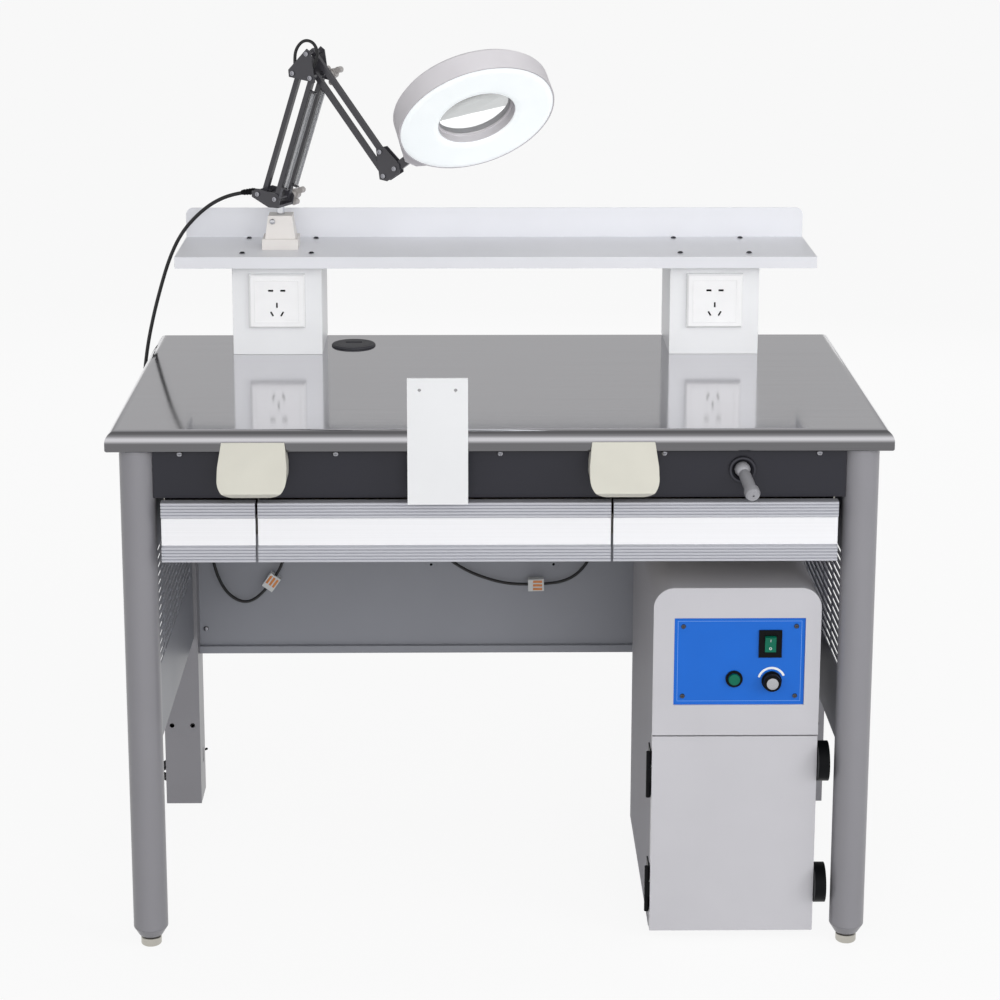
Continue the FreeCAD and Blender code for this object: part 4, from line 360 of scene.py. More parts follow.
def brushed_steel(name, colour, rough, unshaded_from, shade_from, streak=0.9, length=260, cloud=180):
    """Stainless sheet brushed along X, whose colour is painted darker, as painted shade, down its wrapped
    edge between two heights.
    """
    material, tree, shader, place = new_finish(name)
    scratch = drawn_noise(tree, place, length, streak, 4.0)
    clouded = noise(tree, place, cloud, 2.0)
    tint = tinted(tree, scratch, linear(colour, 0.93), linear(colour, 1.05), ends=(0.25, 0.75))
    height = add_node(tree, "ShaderNodeSeparateXYZ", {"Vector": place}).outputs["Z"]
    # Painted shade: the colour falls to a darker tone between two heights on the edge's drop.
    polish = ranged(tree, height, EDGE_PAINTED_SHADE_TONE, 1.0, start=shade_from, stop=unshaded_from,
                    interpolation_type="SMOOTHSTEP")
    shade = add_node(tree, "ShaderNodeVectorMath", {0: tint, "Scale": polish}, operation="SCALE")
    mixed = combined(tree, "MULTIPLY", scratch, clouded)
    feed(tree, shader, {
        "Base Color": shade.outputs["Vector"],
        "Roughness": ranged(tree, mixed, rough * 0.75, rough * 1.3, start=0.1, stop=0.4),
        "Metallic": 1.0, "Normal": bumped(tree, scratch, 0.12, 0.02)})
    return material


def chipboard(name, fleck=4):
    """Pressed wood chips: short pale and dark flecks, quite matt."""
    material, tree, shader, place = new_finish(name)
    flecks = add_node(tree, "ShaderNodeTexVoronoi", {"Vector": place, "Scale": 1 / (fleck * MM)})
    feed(tree, shader, {
        "Base Color": tinted(tree, flecks.outputs["Distance"], linear("#A88A62"), linear("#7C6040")),
        "Roughness": 0.85})
    return material


worktop_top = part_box("worktop_skin")[1].z
worktop_steel = brushed_steel("brushed_stainless_steel", "#CECDD1", 0.09, worktop_top - EDGE_UNSHADED_DEPTH * MM,
                              worktop_top - EDGE_SHADE_DEPTH * MM)
eased("worktop_skin", worktop_steel, 0.0, angle=35)
eased("worktop_board", chipboard("pressed_chipboard"), 0.3)


# Cable grommet: a dark grey moulded liner in the worktop's hole, closed by a slotted cap.
# It is injection-moulded ABS with a fine spark texture.
def moulded_plastic(name, colour, rough, grain=0.9, depth=0.03, shine=0.5, cloud=45):
    """Injection-moulded plastic: an even colour with a fine spark-eroded grain."""
    material, tree, shader, place = new_finish(name)
    texture = noise(tree, place, grain, 3.0)
    clouded = noise(tree, place, cloud, 2.0)
    feed(tree, shader, {
        "Base Color": tinted(tree, clouded, linear(colour, 0.94), linear(colour, 1.05)),
        "Roughness": ranged(tree, texture, rough - 0.08, rough + 0.08),
        "Specular IOR Level": shine, "Normal": bumped(tree, texture, 0.3, depth)})
    return material


black_plastic = moulded_plastic("black_moulded_abs", "#0B0C0E", 0.42, shine=0.1)
eased("cable_grommet", moulded_plastic("dark_grey_moulded_abs", "#3A3A3F", 0.5), 0.6)


# Screws: nickel-plated dome heads with a cross recess, along the apron and on the back panel.
# Each head is turned and its recess punched before plating; the shelf has the same head, in a darker nickel
# that is painted reflection.
def block(size, place=(0, 0, 0), turn=0):
    """Box in millimetres, turned about Z by degrees."""
    piece = fresh(bpy.ops.mesh.primitive_cube_add, size=1, location=[c * MM for c in place],
                  rotation=(0, 0, math.radians(turn)), scale=[c * MM for c in size])
    bpy.ops.object.transform_apply(location=True, rotation=True, scale=True)
    return piece


def carve(piece, tool):
    """Cut a tool's shape out of a piece and drop the tool."""
    take(piece)
    hollow = piece.modifiers.new("hollow", "BOOLEAN")
    hollow.operation = "DIFFERENCE"
    hollow.object = tool
    bpy.ops.object.modifier_apply(modifier=hollow.name)
    bpy.data.objects.remove(tool)


def cross_head(name, radius, dome):
    """Dome screw head with a cross recess, its seat at the origin and its dome towards +Z."""
    head = fresh(bpy.ops.mesh.primitive_uv_sphere_add, segments=24, ring_count=12, radius=radius * MM)
    head.name = name
    pick(head, lambda centre, normal: centre.z < 0)
    bpy.ops.mesh.delete(type="FACE")
    bpy.ops.mesh.select_all(action="SELECT")
    bpy.ops.transform.resize(value=(1, 1, dome / radius))
    bpy.ops.object.mode_set(mode="OBJECT")
    for turn in (0, 90):
        carve(head, block((radius * 1.1, radius * 0.24, dome), (0, 0, dome * 0.95), turn))
    take(head)
    bpy.ops.object.shade_smooth_by_angle(angle=math.radians(40))
    return head


def at(x, y, z):
    """Shift to a place in millimetres."""
    return Matrix.Translation(Vector((x, y, z)) * MM)


def copied(piece, name, matrix):
    """Copy of a modelled piece with its own mesh, set in place by a matrix."""
    twin = bpy.data.objects.new(name, piece.data.copy())
    twin.data.transform(matrix)
    bpy.context.scene.collection.objects.link(twin)
    return twin


def joined(name, pieces):
    """Several modelled copies joined into one piece."""
    take(pieces[0])
    for piece in pieces[1:]:
        piece.select_set(True)
    bpy.ops.object.join()
    pieces[0].name = name
    return pieces[0]


TO_FRONT = Matrix.Rotation(math.pi / 2, 4, "X")
chrome_plate = plated_steel("chrome_plated_steel", "#D4D5D9", 0.09)
nickel_plate = plated_steel("nickel_plated_steel", "#A2A2A8", 0.2)
# The darker nickel is painted reflection: on the shelf's chrome heads it stands for the dark surroundings
# they mirror.
dark_nickel = plated_steel("dark_nickel_plate_and_painted_reflection", "#5A5A60", 0.22)
screw_head = cross_head("screw_pattern", 4.5, 2.6)
apron_face, apron_line, back_face, shelf_top = -282, 744, 294, 940
upright = [at(x, apron_face, apron_line) for x in (-448, -230, 0, 230, 448)]
upright += [at(x, back_face, z) for x in (-478, 478) for z in (292, 630)]
lying = [at(x, y, shelf_top) for x in (-397, -289, 289, 397) for y in (198, 332)]
placed = [copied(screw_head, "screw", seat @ TO_FRONT) for seat in upright]
dress(joined("dome_screw_heads", placed), nickel_plate, "dome_screws", "dome_screws")
placed = [copied(screw_head, "screw", seat) for seat in lying]
dress(joined("shelf_screw_heads", placed), dark_nickel, "dome_screws")


# Drawers: fronts of extruded aluminium, ribbed above and below a smooth finger band, on steel trays.
# The extrusion is etched and clear anodised; trays and runners are folded zinc-plated sheet.
def anodised_aluminium(name, colour, rough, metal, line=0.7, length=400):
    """Clear-anodised extrusion: fine die lines along X and a soft silvery sheen."""
    material, tree, shader, place = new_finish(name)
    lines = drawn_noise(tree, place, length, line, 3.0)
    feed(tree, shader, {
        "Base Color": tinted(tree, lines, linear(colour, 0.92), linear(colour, 1.05)),
        "Roughness": ranged(tree, lines, rough - 0.05, rough + 0.07), "Metallic": metal})
    return material


drawer_aluminium = anodised_aluminium("clear_anodised_aluminium", "#C0C1C8", 0.42, 0.5)
# The finger band is a little smoother than the ribs; its near-white colour is a painted highlight for the
# light the band reflects.
band_painted_highlight = anodised_aluminium("anodised_aluminium_painted_highlight", "#F2F2F5", 0.34, 0.25)
band_low, band_high = 613.5 * MM, 653.5 * MM
for side in ("left", "middle", "right"):
    drawer_front = eased("drawer_front_" + side, drawer_aluminium, 0.35, angle=25)
    repaint(drawer_front, band_painted_highlight, lambda centre, normal: (
        normal.y < -0.5 and band_low < centre.z < band_high))
    eased("drawer_tray_" + side, zinc_plate, 0.3)
eased("drawer_runners", zinc_plate, 0.3)

# Arm rests: cream moulded blocks on the apron that slope out and down from the worktop's front edge.
# They are integral-skin foam, satin and slightly dimpled, with rounded lower corners.
rest_skin = moulded_plastic("cream_integral_skin_foam", "#D6D4C9", 0.45, grain=1.6, depth=0.05)
eased("armrests", rest_skin, 2.2, segments=3)

# Work plate: a white-painted steel upright on a folded bracket, left of the middle of the front edge.
# Two small holes near its top take an accessory.
white_paint = powder_paint("white_powder_paint", "#E9EAEC", 0.36)
eased("work_plate", white_paint, 0.5)

# Air gun: a grey anodised aluminium nozzle on a ball, held in a dark knurled bush in the apron.
# The bush is turned aluminium, black anodised, and its rim is knurled for the fingers.
dark_anodised = plated_steel("black_anodised_aluminium", "#4A4A50", 0.35)
eased("air_gun_bush", dark_anodised, 0.4)
gun_finish = anodised_aluminium("grey_anodised_aluminium", "#A4A4A9", 0.45, 0.35)
eased("air_gun", gun_finish, 0.3, angle=35)
gun_x, gun_z, rib_out = 340, 720, 2
rib_count, rim_radius = 40, 19.0
rim_middle = at(gun_x, apron_face - rib_out, gun_z)
rib = block((1.4, 3.0, 0.9))
ease_edges(rib, 0.3)
ribs = []
for index in range(rib_count):
    round_rim = Matrix.Rotation(2 * math.pi * index / rib_count, 4, "Y")
    ribs.append(copied(rib, "rib", rim_middle @ round_rim @ at(0, 0, rim_radius)))
bpy.data.objects.remove(rib)
dress(joined("air_gun_knurl", ribs), dark_anodised, "air_gun_bush")

# Pedestals: folded steel boxes in white paint that carry the shelf, cut out in front for a socket.
# Their edges are folded to a small radius and their seams are behind.
# The pedestals' paint is a lighter copy of the work plate's white: painted light against the shade under the
# shelf.
pedestal_paint_painted_light = powder_paint("white_powder_paint_painted_light", "#EEEFF1", 0.36)
eased("pedestals", pedestal_paint_painted_light, 1.2)


# Sockets: white gloss plates with a raised rim round two sets of pin holes, one in each pedestal.
# They are moulded urea resin, harder and glossier than the paint around them.
def rimmed(piece, width, thick, offset=0):
    """Leave only the rim of a flat piece, a width and a thickness in millimetres."""
    take(piece)
    bpy.ops.object.mode_set(mode="EDIT")
    bpy.ops.mesh.select_all(action="SELECT")
    bpy.ops.mesh.inset(thickness=width * MM, use_boundary=True)
    bpy.ops.mesh.delete(type="FACE")
    bpy.ops.object.mode_set(mode="OBJECT")
    wall = piece.modifiers.new("rim_height", "SOLIDIFY")
    wall.thickness = thick * MM
    wall.offset = offset
    bpy.ops.object.modifier_apply(modifier=wall.name)
    return piece


def flat_plate(wide, high):
    """Flat rectangle in the XY plane, round the origin."""
    plate = fresh(bpy.ops.mesh.primitive_plane_add, size=1)
    plate.data.transform(Matrix.Diagonal((wide * MM, high * MM, 1, 1)))
    return plate


socket_resin = moulded_plastic("white_gloss_urea_resin", "#F9F9FA", 0.2, grain=3.0, depth=0.01)
sockets = eased("sockets", socket_resin, 0.5)
socket_low, socket_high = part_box("sockets")
socket_z = (socket_low.z + socket_high.z) / 2
socket_x, hole_reach, hole_from = 343 * MM, 26 * MM, socket_low.y + 1.2 * MM
# The pin holes' walls and floors are painted black: painted shade inside the holes.
repaint(sockets, black_plastic, lambda centre, normal: (
    abs(abs(centre.x) - socket_x) < hole_reach and abs(centre.z - socket_z) < hole_reach
    and centre.y > hole_from and normal.y < 0.5))
rim_wide, rim_high, rim_width, rim_thick = 70, 68, 1.6, 1.4
rims = []
for x in (-socket_x, socket_x):
    rim = rimmed(flat_plate(rim_wide, rim_high), rim_width, rim_thick)
    ease_edges(rim, 0.5)
    rim.data.transform(Matrix.Translation((x, socket_low.y, socket_z)) @ TO_FRONT)
    rims.append(rim)
dress(joined("socket_rims", rims), socket_resin, "sockets")

# Shelf: one folded sheet in pale satin paint, with a turned-down lip and a rounded upstand behind.
# It is screwed down on the pedestals and its edges are folded to a small radius.
shelf_paint = powder_paint("pale_shelf_powder_paint", "#E4E5EA", 0.38)
eased("shelf", shelf_paint, 0.6)

# Lamp base and swivel: a cream moulded foot on the shelf, with a chrome post in its socket.
# The foot is a wide plate under a tapered block, and a round screw in its front clamps the post.
LAMP = Matrix.Translation((-0.340, 0.258, 0.940)) @ Matrix.Rotation(math.radians(-26), 4, "Z")
PIVOTS = {"base_front": (3, 80), "base_rear": (-28.02, 86.03), "elbow_front": (69.74, 273.83),
          "elbow_rear": (38.72, 279.86), "apex": (63.74, 310.85), "head_top": (181.85, 163.94),
          "head_low": (187.85, 126.92), "neck": (206.85, 139.43)}
base_cream = moulded_plastic("cream_moulded_abs", "#DDD9D6", 0.36, grain=1.4)
eased("lamp_base", base_cream, 1.6, segments=3)
eased("lamp_post", chrome_plate, 0.4)
foot_screw_seat = at(-352, 237.7, 984)
foot_screw = copied(screw_head, "lamp_foot_screw", foot_screw_seat @ TO_FRONT)
dress(foot_screw, chrome_plate, "dome_screws")


# Lamp arms: dark gloss-painted steel bars between folded brackets, held by nickel-plated pivot screws.
# Two bright tension springs lie along the lower front bars and carry the head's weight.
def recess_top(piece, rim, depth):
    """Sink the middle of a piece's top inside a rim, both in millimetres."""
    pick(piece, lambda centre, normal: normal.z > FACING)
    bpy.ops.mesh.inset(thickness=rim * MM)
    bpy.ops.mesh.extrude_region_move(TRANSFORM_OT_translate={"value": (0, 0, -depth * MM)})
    bpy.ops.object.mode_set(mode="OBJECT")


arm_paint = powder_paint("dark_gloss_powder_paint", "#3F3E43", 0.22)
for node in ("lamp_base_bracket", "lamp_elbow", "lamp_head_bracket", "lamp_neck"):
    eased(node, arm_paint, 0.7)
for node in ("lamp_front_bars", "lamp_rear_bar", "lamp_upper_bar", "lamp_upper_link"):
    eased(node, arm_paint, 1.4, segments=3)
pivot_screw = fresh(bpy.ops.mesh.primitive_cylinder_add, vertices=28, radius=3.8 * MM, depth=2.4 * MM,
                    location=(0, 0, 1.2 * MM))
bpy.ops.object.transform_apply(location=True, rotation=True, scale=True)
recess_top(pivot_screw, 1.6, 1.4)
ease_edges(pivot_screw, 0.4)
wide_half, head_half = 23, 7
SCREWED = {"lamp_stand": (("base_front", wide_half, False), ("base_rear", wide_half, True)),
           "lamp_elbow": (("elbow_front", wide_half, False), ("elbow_rear", wide_half, True),
                          ("apex", wide_half, True)),
           "lamp_wrist": (("head_top", head_half, True), ("head_low", head_half, True),
                          ("neck", head_half, True))}
for body, screws in SCREWED.items():
    placed = []
    for pivot, half, both_sides in screws:
        out, up = PIVOTS[pivot]
        placed.append(copied(pivot_screw, "pivot_screw", LAMP @ at(out, -half, up) @ TO_FRONT))
        if both_sides:
            far_side = LAMP @ at(out, half, up) @ TO_FRONT.inverted()
            placed.append(copied(pivot_screw, "pivot_screw", far_side))
    screws_of_body = joined(body + "_pivot_screws", placed)
    screws_of_body.data.materials.append(nickel_plate)
    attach(screws_of_body, body)
bpy.data.objects.remove(pivot_screw)


def cable(name, points, radius, steps=8, roundness=4):
    """Smooth round cable, and its path, whose route's points, in metres, are its control points."""
    line = bpy.data.curves.new(name, "CURVE")
    line.dimensions = "3D"
    spline = line.splines.new("NURBS")
    spline.points.add(len(points) - 1)
    for point, place in zip(spline.points, points):
        point.co = (*place, 1)
    spline.order_u = 3
    spline.use_endpoint_u = True
    spline.resolution_u = steps
    piece = bpy.data.objects.new(name, line)
    bpy.context.scene.collection.objects.link(piece)
    bpy.context.view_layer.update()
    bare = bpy.data.meshes.new_from_object(piece)
    path = [tuple(vertex.co) for vertex in bare.vertices]
    bpy.data.meshes.remove(bare)
    line.bevel_depth = radius * MM
    line.bevel_resolution = roundness
    return piece, path


def meshed(piece):
    """Turn a cable's curve into a mesh."""
    take(piece)
    bpy.ops.object.convert(target="MESH")
    return bpy.context.object


spring_steel = plated_steel("bright_spring_steel", "#C8C9CC", 0.16)
spring_wire, spring_radius, spring_turns, turn_points = 1.1, 3.6, 96, 12
spring_inset, spring_off, spring_across, arm_long = 22.0, 9.0, 16.0, 205.0
arm_lean = math.radians(71)
arm_way = Vector((math.cos(arm_lean), 0, math.sin(arm_lean)))
arm_side = Vector((arm_way.z, 0, -arm_way.x))
base_out, base_up = PIVOTS["base_front"]
springs = []
for across in (-spring_across, spring_across):
    seat = Vector((base_out, across, base_up)) + arm_side * spring_off
    begin = spring_inset + spring_wire
    length = arm_long - 2 * begin
    steps = spring_turns * turn_points
    points = [seat + arm_way * spring_inset + arm_side * spring_radius]
    for step in range(steps + 1):
        angle = 2 * math.pi * step / turn_points
        ring = arm_side * math.cos(angle) + Vector((0, 1, 0)) * math.sin(angle)
        points.append(seat + arm_way * (begin + length * step / steps) + ring * spring_radius)
    points.append(seat + arm_way * (arm_long - spring_inset) + arm_side * spring_radius)
    points = [LAMP @ (point * MM) for point in points]
    spring = cable("lamp_spring", points, spring_wire / 2, steps=2, roundness=2)[0]
    springs.append(meshed(spring))
lamp_springs = joined("lamp_tension_springs", springs)
take(lamp_springs)
bpy.ops.object.shade_smooth()
dress(lamp_springs, spring_steel, "lamp_springs", "lamp_springs")

# Lamp knobs: three-lobed clamp knobs in light grey plastic behind the base and the elbow.
# They are moulded round the ends of the pivot studs.
knob_plastic = moulded_plastic("grey_gloss_abs", "#B4B0AE", 0.3)
eased("lamp_base_knob", knob_plastic, 1.4, segments=3)
eased("lamp_elbow_knob", knob_plastic, 1.4, segments=3)


# Lamp head: a round light-grey plastic housing with a tail on the neck, textured by its mould.
# An opal acrylic ring lights the work and a glass lens sits in its middle.
def opal_acrylic(name, cloud=30):
    """Opal diffuser lit from behind: an even glow under a satin skin."""
    material, tree, shader, place = new_finish(name)
    tint = tinted(tree, noise(tree, place, cloud, 1.0), linear("#EEF3F5"), linear("#F6FAFB"))
    feed(tree, shader, {
        "Base Color": tint, "Roughness": 0.3, "Emission Color": tint, "Emission Strength": 0.42})
    return material


def polished_glass(name, wave=40):
    """Optical glass: clear, with the faintest waviness of a pressed and polished lens."""
    material, tree, shader, place = new_finish(name)
    feed(tree, shader, {
        "Base Color": linear("#D6D8D8"), "IOR": 1.5, "Transmission Weight": 1.0,
        "Roughness": ranged(tree, noise(tree, place, wave, 1.0), 0.0, 0.04)})
    return material


lamp_plastic = moulded_plastic("light_grey_textured_abs", "#DCD9DD", 0.5, grain=1.2, depth=0.06)
eased("lamp_shell", lamp_plastic, 1.0)
eased("lamp_diffuser", opal_acrylic("opal_acrylic_diffuser"), 0.0, angle=50)
eased("lamp_lens", polished_glass("polished_lens_glass"), 0.0, angle=50)


# Lamp cable loop: a short black cable that bows over the elbow from one bracket pin to the other.
# It is round PVC flex, clipped at both ends inside the bracket.
def rubber_flex(name, colour, grain=1.5):
    """PVC flex: near black, satin, with a faint grain."""
    material, tree, shader, place = new_finish(name)
    texture = noise(tree, place, grain, 2.0)
    feed(tree, shader, {
        "Base Color": tinted(tree, texture, linear(colour, 0.85), linear(colour, 1.15)),
        "Roughness": ranged(tree, texture, 0.42, 0.58)})
    return material


black_flex = rubber_flex("black_pvc_flex", "#18181A")
apex_out, apex_up = PIVOTS["apex"]
rear_out, rear_up = PIVOTS["elbow_rear"]
loop_across = -18.4
LOOP = [(rear_out + 2, rear_up + 8)] + [(apex_out + out, apex_up + up) for out, up in (
    (-24, -6), (-19.5, 9), (-7.5, 20.5), (7.5, 19.5), (16.5, 8), (16.5, -7), (9, -20))]
loop_points = [tuple(LAMP @ (Vector((out, loop_across, up)) * MM)) for out, up in LOOP]
loop, loop_path = cable("elbow_cable_loop", loop_points, 2.5)
dress(loop, black_flex, "lamp_cable_loop", "lamp_cable_loop")


# Dust collector: a steel cabinet with rounded shoulders, in pale grey textured paint, on rubber pads.
# Its shell, chassis and door are folded sheet; the felt filter stands behind the door.
def felt(name, colour, fibre=0.8):
    """Needled felt: matted short fibres."""
    material, tree, shader, place = new_finish(name)
    fibres = noise(tree, place, fibre, 5.0)
    feed(tree, shader, {
        "Base Color": tinted(tree, fibres, linear(colour, 0.75), linear(colour, 1.08)),
        "Roughness": 0.95, "Normal": bumped(tree, fibres, 0.6, 0.4)})
    return material


collector_paint = powder_paint("pale_grey_textured_powder_paint", "#C6C5CA", 0.42, peel=1.2, depth=0.05)
# The shell's paint is a darker, duller copy of the front's pale grey: partly a darker paint, partly painted
# shade for the shell's sides and top under the bench.
shell_paint_and_painted_shade = powder_paint("grey_textured_powder_paint", "#B2B1B7", 0.65, peel=1.2, depth=0.05, shine=0.15)
pad_top, knuckle_right = 11.9 * MM, 219.9 * MM
eased("collector_shell", shell_paint_and_painted_shade, 0.8)
eased("collector_fascia", collector_paint, 1.4, segments=3)
chassis = eased("collector_chassis", collector_paint, 0.8)
repaint(chassis, black_plastic, lambda centre, normal: centre.z < pad_top)
door = eased("collector_door", collector_paint, 0.8)
repaint(door, black_plastic, lambda centre, normal: centre.x < knuckle_right)
eased("collector_filter", felt("needled_polyester_felt", "#DAD5C6"), 1.0)

# Control panel: a blue gloss sheet behind the fascia's window, with a pale line round its edge.
# The line is printed in one pass and four dark screws hold the sheet at its corners.
panel_blue = moulded_plastic("blue_gloss_polycarbonate", "#1E69CE", 0.2, grain=3.0, depth=0.008, shine=0.2)
eased("control_panel", panel_blue, 0.3)
window_left, window_right, window_low, window_high, panel_y = 250, 438, 364, 495, -262
line_inset, screw_inset, screw_share, ink_out = 5, 13, 0.8, 0.1
print_pale = moulded_plastic("pale_printed_ink", "#6FA0E6", 0.35)
line_ring = flat_plate(window_right - window_left - 2 * line_inset, window_high - window_low - 2 * line_inset)
line_ring.name = "panel_border_line"
rimmed(line_ring, 0.6, 0.2, offset=-1)
line_ring.data.transform(at((window_left + window_right) / 2, panel_y - ink_out,
                            (window_low + window_high) / 2) @ TO_FRONT)
dress(line_ring, print_pale, "control_panel")
placed = [copied(screw_head, "screw", at(x, panel_y, z) @ TO_FRONT @ Matrix.Scale(screw_share, 4))
          for x in (window_left + screw_inset, window_right - screw_inset)
          for z in (window_low + screw_inset, window_high - screw_inset)]
dress(joined("panel_screw_heads", placed), dark_nickel, "dome_screws")
bpy.data.objects.remove(screw_head)

# Switches: a green rocker in a black frame, a green push button in a black ring and a black dial.
# They are moulded plastic, snapped into the panel from the front. The rocker carries plain on and off
# marks, and the dial a spun aluminium cap under a printed arc.
green_plastic = moulded_plastic("green_gloss_abs", "#0A6A52", 0.22, grain=2.0, depth=0.01, shine=0.2)
eased("switch_bezels", black_plastic, 0.7)
eased("push_button", green_plastic, 0.8, segments=3)
eased("dial_knob", black_plastic, 0.5)
rocker_x, rocker_z, dial_x, dial_z = 388, 456, 391, 400
mark_down, mark_up, far_front = 6.5, 6, -600
arc_from, arc_to = 20, 165
rocker = eased("rocker", green_plastic, 0.5)
white_ink = moulded_plastic("white_printed_ink", "#EEF0F0", 0.4)


def flat_ring(name, radius, width, thick):
    """Flat ring of ink in the XY plane, round the origin."""
    ring = fresh(bpy.ops.mesh.primitive_circle_add, vertices=48, radius=radius * MM, fill_type="NGON")
    ring.name = name
    return rimmed(ring, width, thick)


def print_on(mark, piece, x, z):
    """Lay a mark on a piece where a line from the front meets it."""
    bpy.context.view_layer.update()
    found, place, normal, face = piece.ray_cast(Vector((x, far_front, z)) * MM, Vector((0, 1, 0)))
    mark.data.transform(Matrix.Translation(place) @ normal.to_track_quat("Z", "Y").to_matrix().to_4x4())
    mark.data.materials.append(white_ink)


off_mark = flat_ring("rocker_off_mark", 1.9, 0.6, 0.3)
print_on(off_mark, rocker, rocker_x, rocker_z - mark_down)
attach(off_mark, "rocker")
on_mark = block((0.8, 4.2, 0.3))
on_mark.name = "rocker_on_mark"
ease_edges(on_mark, 0.1)
print_on(on_mark, rocker, rocker_x, rocker_z + mark_up)
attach(on_mark, "rocker")
spun_aluminium = plated_steel("spun_aluminium", "#B4B5B9", 0.24)
tree = spun_aluminium.node_tree
turned = add_node(tree, "ShaderNodeTangent", direction_type="RADIAL", axis="Y")
feed(tree, tree.nodes["Principled BSDF"], {"Anisotropic": 0.85, "Tangent": turned.outputs[0]})
dial_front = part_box("dial_knob")[0].y
dial_cap = fresh(bpy.ops.mesh.primitive_cylinder_add, vertices=40, radius=8.5 * MM, depth=1.6 * MM)
dial_cap.name = "dial_cap"
recess_top(dial_cap, 1.4, 0.4)
ease_edges(dial_cap, 0.25)
dial_cap.data.transform(Matrix.Translation((dial_x * MM, dial_front, dial_z * MM)) @ TO_FRONT)
dial_cap.data.materials.append(spun_aluminium)
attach(dial_cap, "dial")
dial_scale = flat_ring("dial_scale_arc", 20.5, 3.2, 0.2)
keep_faces(dial_scale, lambda centre, normal: (
    arc_from < math.degrees(math.atan2(centre.y, centre.x)) < arc_to))
dial_scale.data.transform(at(dial_x, panel_y - ink_out, dial_z) @ TO_FRONT)
dress(dial_scale, white_ink, "sockets")

# Door hinges and latches: black hinge barrels on the left edge and two black turn knobs on the right.
# The knobs are moulded round steel shafts whose hooks catch the shell.
eased("door_hinges", black_plastic, 0.5)
eased("door_latch_upper", black_plastic, 1.6, segments=3)
eased("door_latch_lower", black_plastic, 1.6, segments=3)

# Wiring: two loops of black cable below the drawers, clipped to the back panel.
# Each passes through a clear connector with three orange levers, near the middle of its sag. Blind
# collars, painted with the panel, close its two spare wire holes; their black bores are painted shade.
clear_plastic = moulded_plastic("milky_clear_polycarbonate", "#D9DBDC", 0.25)
orange_plastic = moulded_plastic("orange_polyamide", "#D98A4E", 0.35)
eased("harness_fittings", clear_plastic, 0.8)
lever = block((15, 3.8, 1.8))
ease_edges(lever, 0.5)
lever_out, lever_pitch = 2.5, 6.2
levers = []
for middle, tilt in (((-366, 258.6, 382), 54.4), ((67, 256.6, 377), 0)):
    connector = at(*middle) @ TO_FRONT @ Matrix.Rotation(math.radians(tilt), 4, "Z")
    for across in (-lever_pitch, 0, lever_pitch):
        levers.append(copied(lever, "lever", connector @ at(lever_out, across, 0)))
bpy.data.objects.remove(lever)
dress(joined("connector_levers", levers), orange_plastic, "harness_fittings")
grommet = fresh(bpy.ops.mesh.primitive_cylinder_add, vertices=32, radius=8.5 * MM, depth=2.4 * MM)
recess_top(grommet, 6.4, 1.6)
ease_edges(grommet, 0.5)
hole_left, hole_right, hole_high, grommet_y = -105, 97, 402, 293.4
bore, bore_from = 2.4 * MM, (grommet_y - 1) * MM
placed = [copied(grommet, "grommet", at(x, grommet_y, hole_high) @ TO_FRONT) for x in (hole_left, hole_right)]
bpy.data.objects.remove(grommet)
wire_grommets = dress(joined("wire_grommets", placed), back_paint_painted_light, "back_panel")
# Painted shade: the collars' bores are painted black, standing for the dark inside of the holes.
repaint(wire_grommets, black_plastic, lambda centre, normal: (
    abs(centre.z - hole_high * MM) < bore and centre.y > bore_from and min(
        abs(centre.x - hole_left * MM), abs(centre.x - hole_right * MM)) < bore))
LEFT_LOOP = [(-0.468, 0.285, 0.560), (-0.470, 0.283, 0.515), (-0.469, 0.279, 0.470), (-0.464, 0.273, 0.426),
             (-0.454, 0.268, 0.388), (-0.437, 0.266, 0.359), (-0.410, 0.266, 0.344), (-0.3828, 0.266, 0.3585),
             (-0.3492, 0.266, 0.4055), (-0.343, 0.269, 0.437), (-0.345, 0.275, 0.478), (-0.348, 0.281, 0.519),
             (-0.347, 0.285, 0.560)]
MIDDLE_LOOP = [(-0.116, 0.285, 0.520), (-0.107, 0.280, 0.481), (-0.096, 0.275, 0.444), (-0.076, 0.271, 0.418),
               (-0.050, 0.268, 0.401), (-0.022, 0.266, 0.389), (0.009, 0.2645, 0.380), (0.039, 0.264, 0.3764),
               (0.095, 0.264, 0.3776), (0.125, 0.265, 0.386), (0.147, 0.268, 0.405), (0.162, 0.272, 0.434),
               (0.171, 0.278, 0.474), (0.176, 0.285, 0.520)]
for side, points in (("left", LEFT_LOOP), ("middle", MIDDLE_LOOP)):
    wire, wire_path = cable(f"harness_{side}_cable", points, 2.5)
    dress(wire, black_flex, "harness", "harness")

# Lamp cord: black round flex from the lamp's swivel, over the shelf's end and down behind the bench.
# A ribbed strain relief guards it at the gland. Its spare length lies in a small tied coil on the floor,
# ending in a two-pin plug.
gland_out, gland_up = -46.8, PIVOTS["base_rear"][1]
gland = LAMP @ (Vector((gland_out, 0, gland_up)) * MM)
CORD = [tuple(gland), (-0.413, 0.293, 1.021), (-0.449, 0.303, 1.006), (-0.480, 0.309, 0.981),
        (-0.506, 0.316, 0.950), (-0.526, 0.325, 0.909), (-0.542, 0.336, 0.861), (-0.557, 0.348, 0.810),
        (-0.570, 0.355, 0.753), (-0.577, 0.354, 0.692), (-0.579, 0.350, 0.628), (-0.577, 0.345, 0.560),
        (-0.579, 0.340, 0.490), (-0.580, 0.335, 0.420), (-0.578, 0.331, 0.350), (-0.580, 0.327, 0.280),
        (-0.579, 0.323, 0.212), (-0.581, 0.319, 0.150), (-0.580, 0.316, 0.100), (-0.580, 0.317, 0.058),
        (-0.581, 0.325, 0.024), (-0.580, 0.348, 0.003), (-0.580, 0.376, 0.003)]
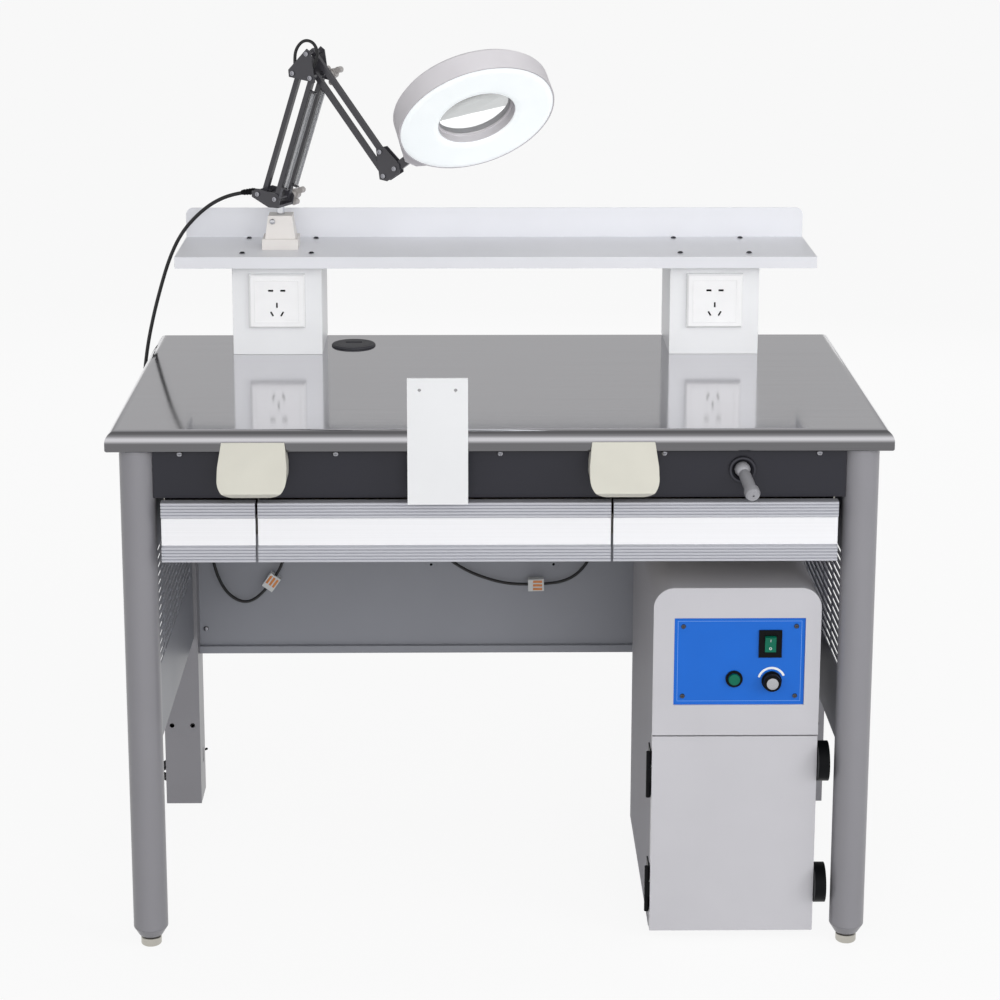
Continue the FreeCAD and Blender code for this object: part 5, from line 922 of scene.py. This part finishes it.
coil_middle = Vector((-0.540, 0.382, 0.003))
coil_radius, coil_pitch, coil_tail = 0.040, 0.0066, 0.036
layer_turns, climb_turns, turns, points_per_turn = 1.3125, 0.5, 3.125, 16
coil_points = []
for step in range(int(turns * points_per_turn) + 1):
    turn = step / points_per_turn
    climb = min(max((turn - layer_turns) / climb_turns, 0), 1)
    inward = min(turn, turns / 2) - max(turn - turns / 2, 0)
    radius = coil_radius - coil_pitch * inward
    angle = math.pi - 2 * math.pi * turn
    rise = coil_pitch * (1 - math.cos(math.pi * climb)) / 2
    coil_points.append(coil_middle + Vector((radius * math.cos(angle), radius * math.sin(angle), rise)))
plug_way = (coil_points[-1] - coil_points[-2]).normalized()
plug_start = coil_points[-1] + plug_way * coil_tail
cord_points = CORD + [tuple(point) for point in coil_points] + [tuple(plug_start)]
cord, cord_path = cable("lamp_cord_flex", cord_points, 3.0)
cord = meshed(cord)
cord.data.materials.append(black_flex)
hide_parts("lamp_cord", "cord_coil")
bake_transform(cord)
plug = eased("cord_plug", black_plastic, 0.6)
relief_long, relief_ribs = 24, 4
rib_low, rib_pitch, rib_radius, rib_taper = -8, 5, 5.1, 0.3
relief = fresh(bpy.ops.mesh.primitive_cone_add, vertices=24, radius1=5.4 * MM, radius2=3.9 * MM,
               depth=relief_long * MM)
ease_edges(relief, 0.6)
ribs = [relief]
for step in range(relief_ribs):
    ribs.append(fresh(bpy.ops.mesh.primitive_torus_add, major_radius=(rib_radius - rib_taper * step) * MM,
                      minor_radius=0.7 * MM, major_segments=24, minor_segments=8,
                      location=(0, 0, (rib_low + rib_pitch * step) * MM)))
    bpy.ops.object.transform_apply(location=True, rotation=True, scale=True)
relief = joined("cord_strain_relief", ribs)
exit_way = (Vector(CORD[1]) - gland).normalized()
relief.data.transform(Matrix.Translation(gland + exit_way * relief_long / 2 * MM)
                      @ exit_way.to_track_quat("Z", "Y").to_matrix().to_4x4())
relief.data.materials.append(black_plastic)
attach(relief, "lamp_stand")
tie_out, tie_up, tie_flat = 0.035, 0.0067, 0.64
tie = fresh(bpy.ops.mesh.primitive_torus_add, major_radius=9.4 * MM, minor_radius=0.9 * MM,
            major_segments=32, minor_segments=8)
tie.name = "coil_tie"
tie.data.transform(Matrix.Translation((coil_middle.x + tie_out, coil_middle.y, tie_up))
                   @ Matrix.Diagonal((1, 1, tie_flat, 1)) @ Matrix.Rotation(math.pi / 2, 4, "X"))
take(tie)
bpy.ops.object.shade_smooth()
dress(tie, black_plastic, "cord_coil")
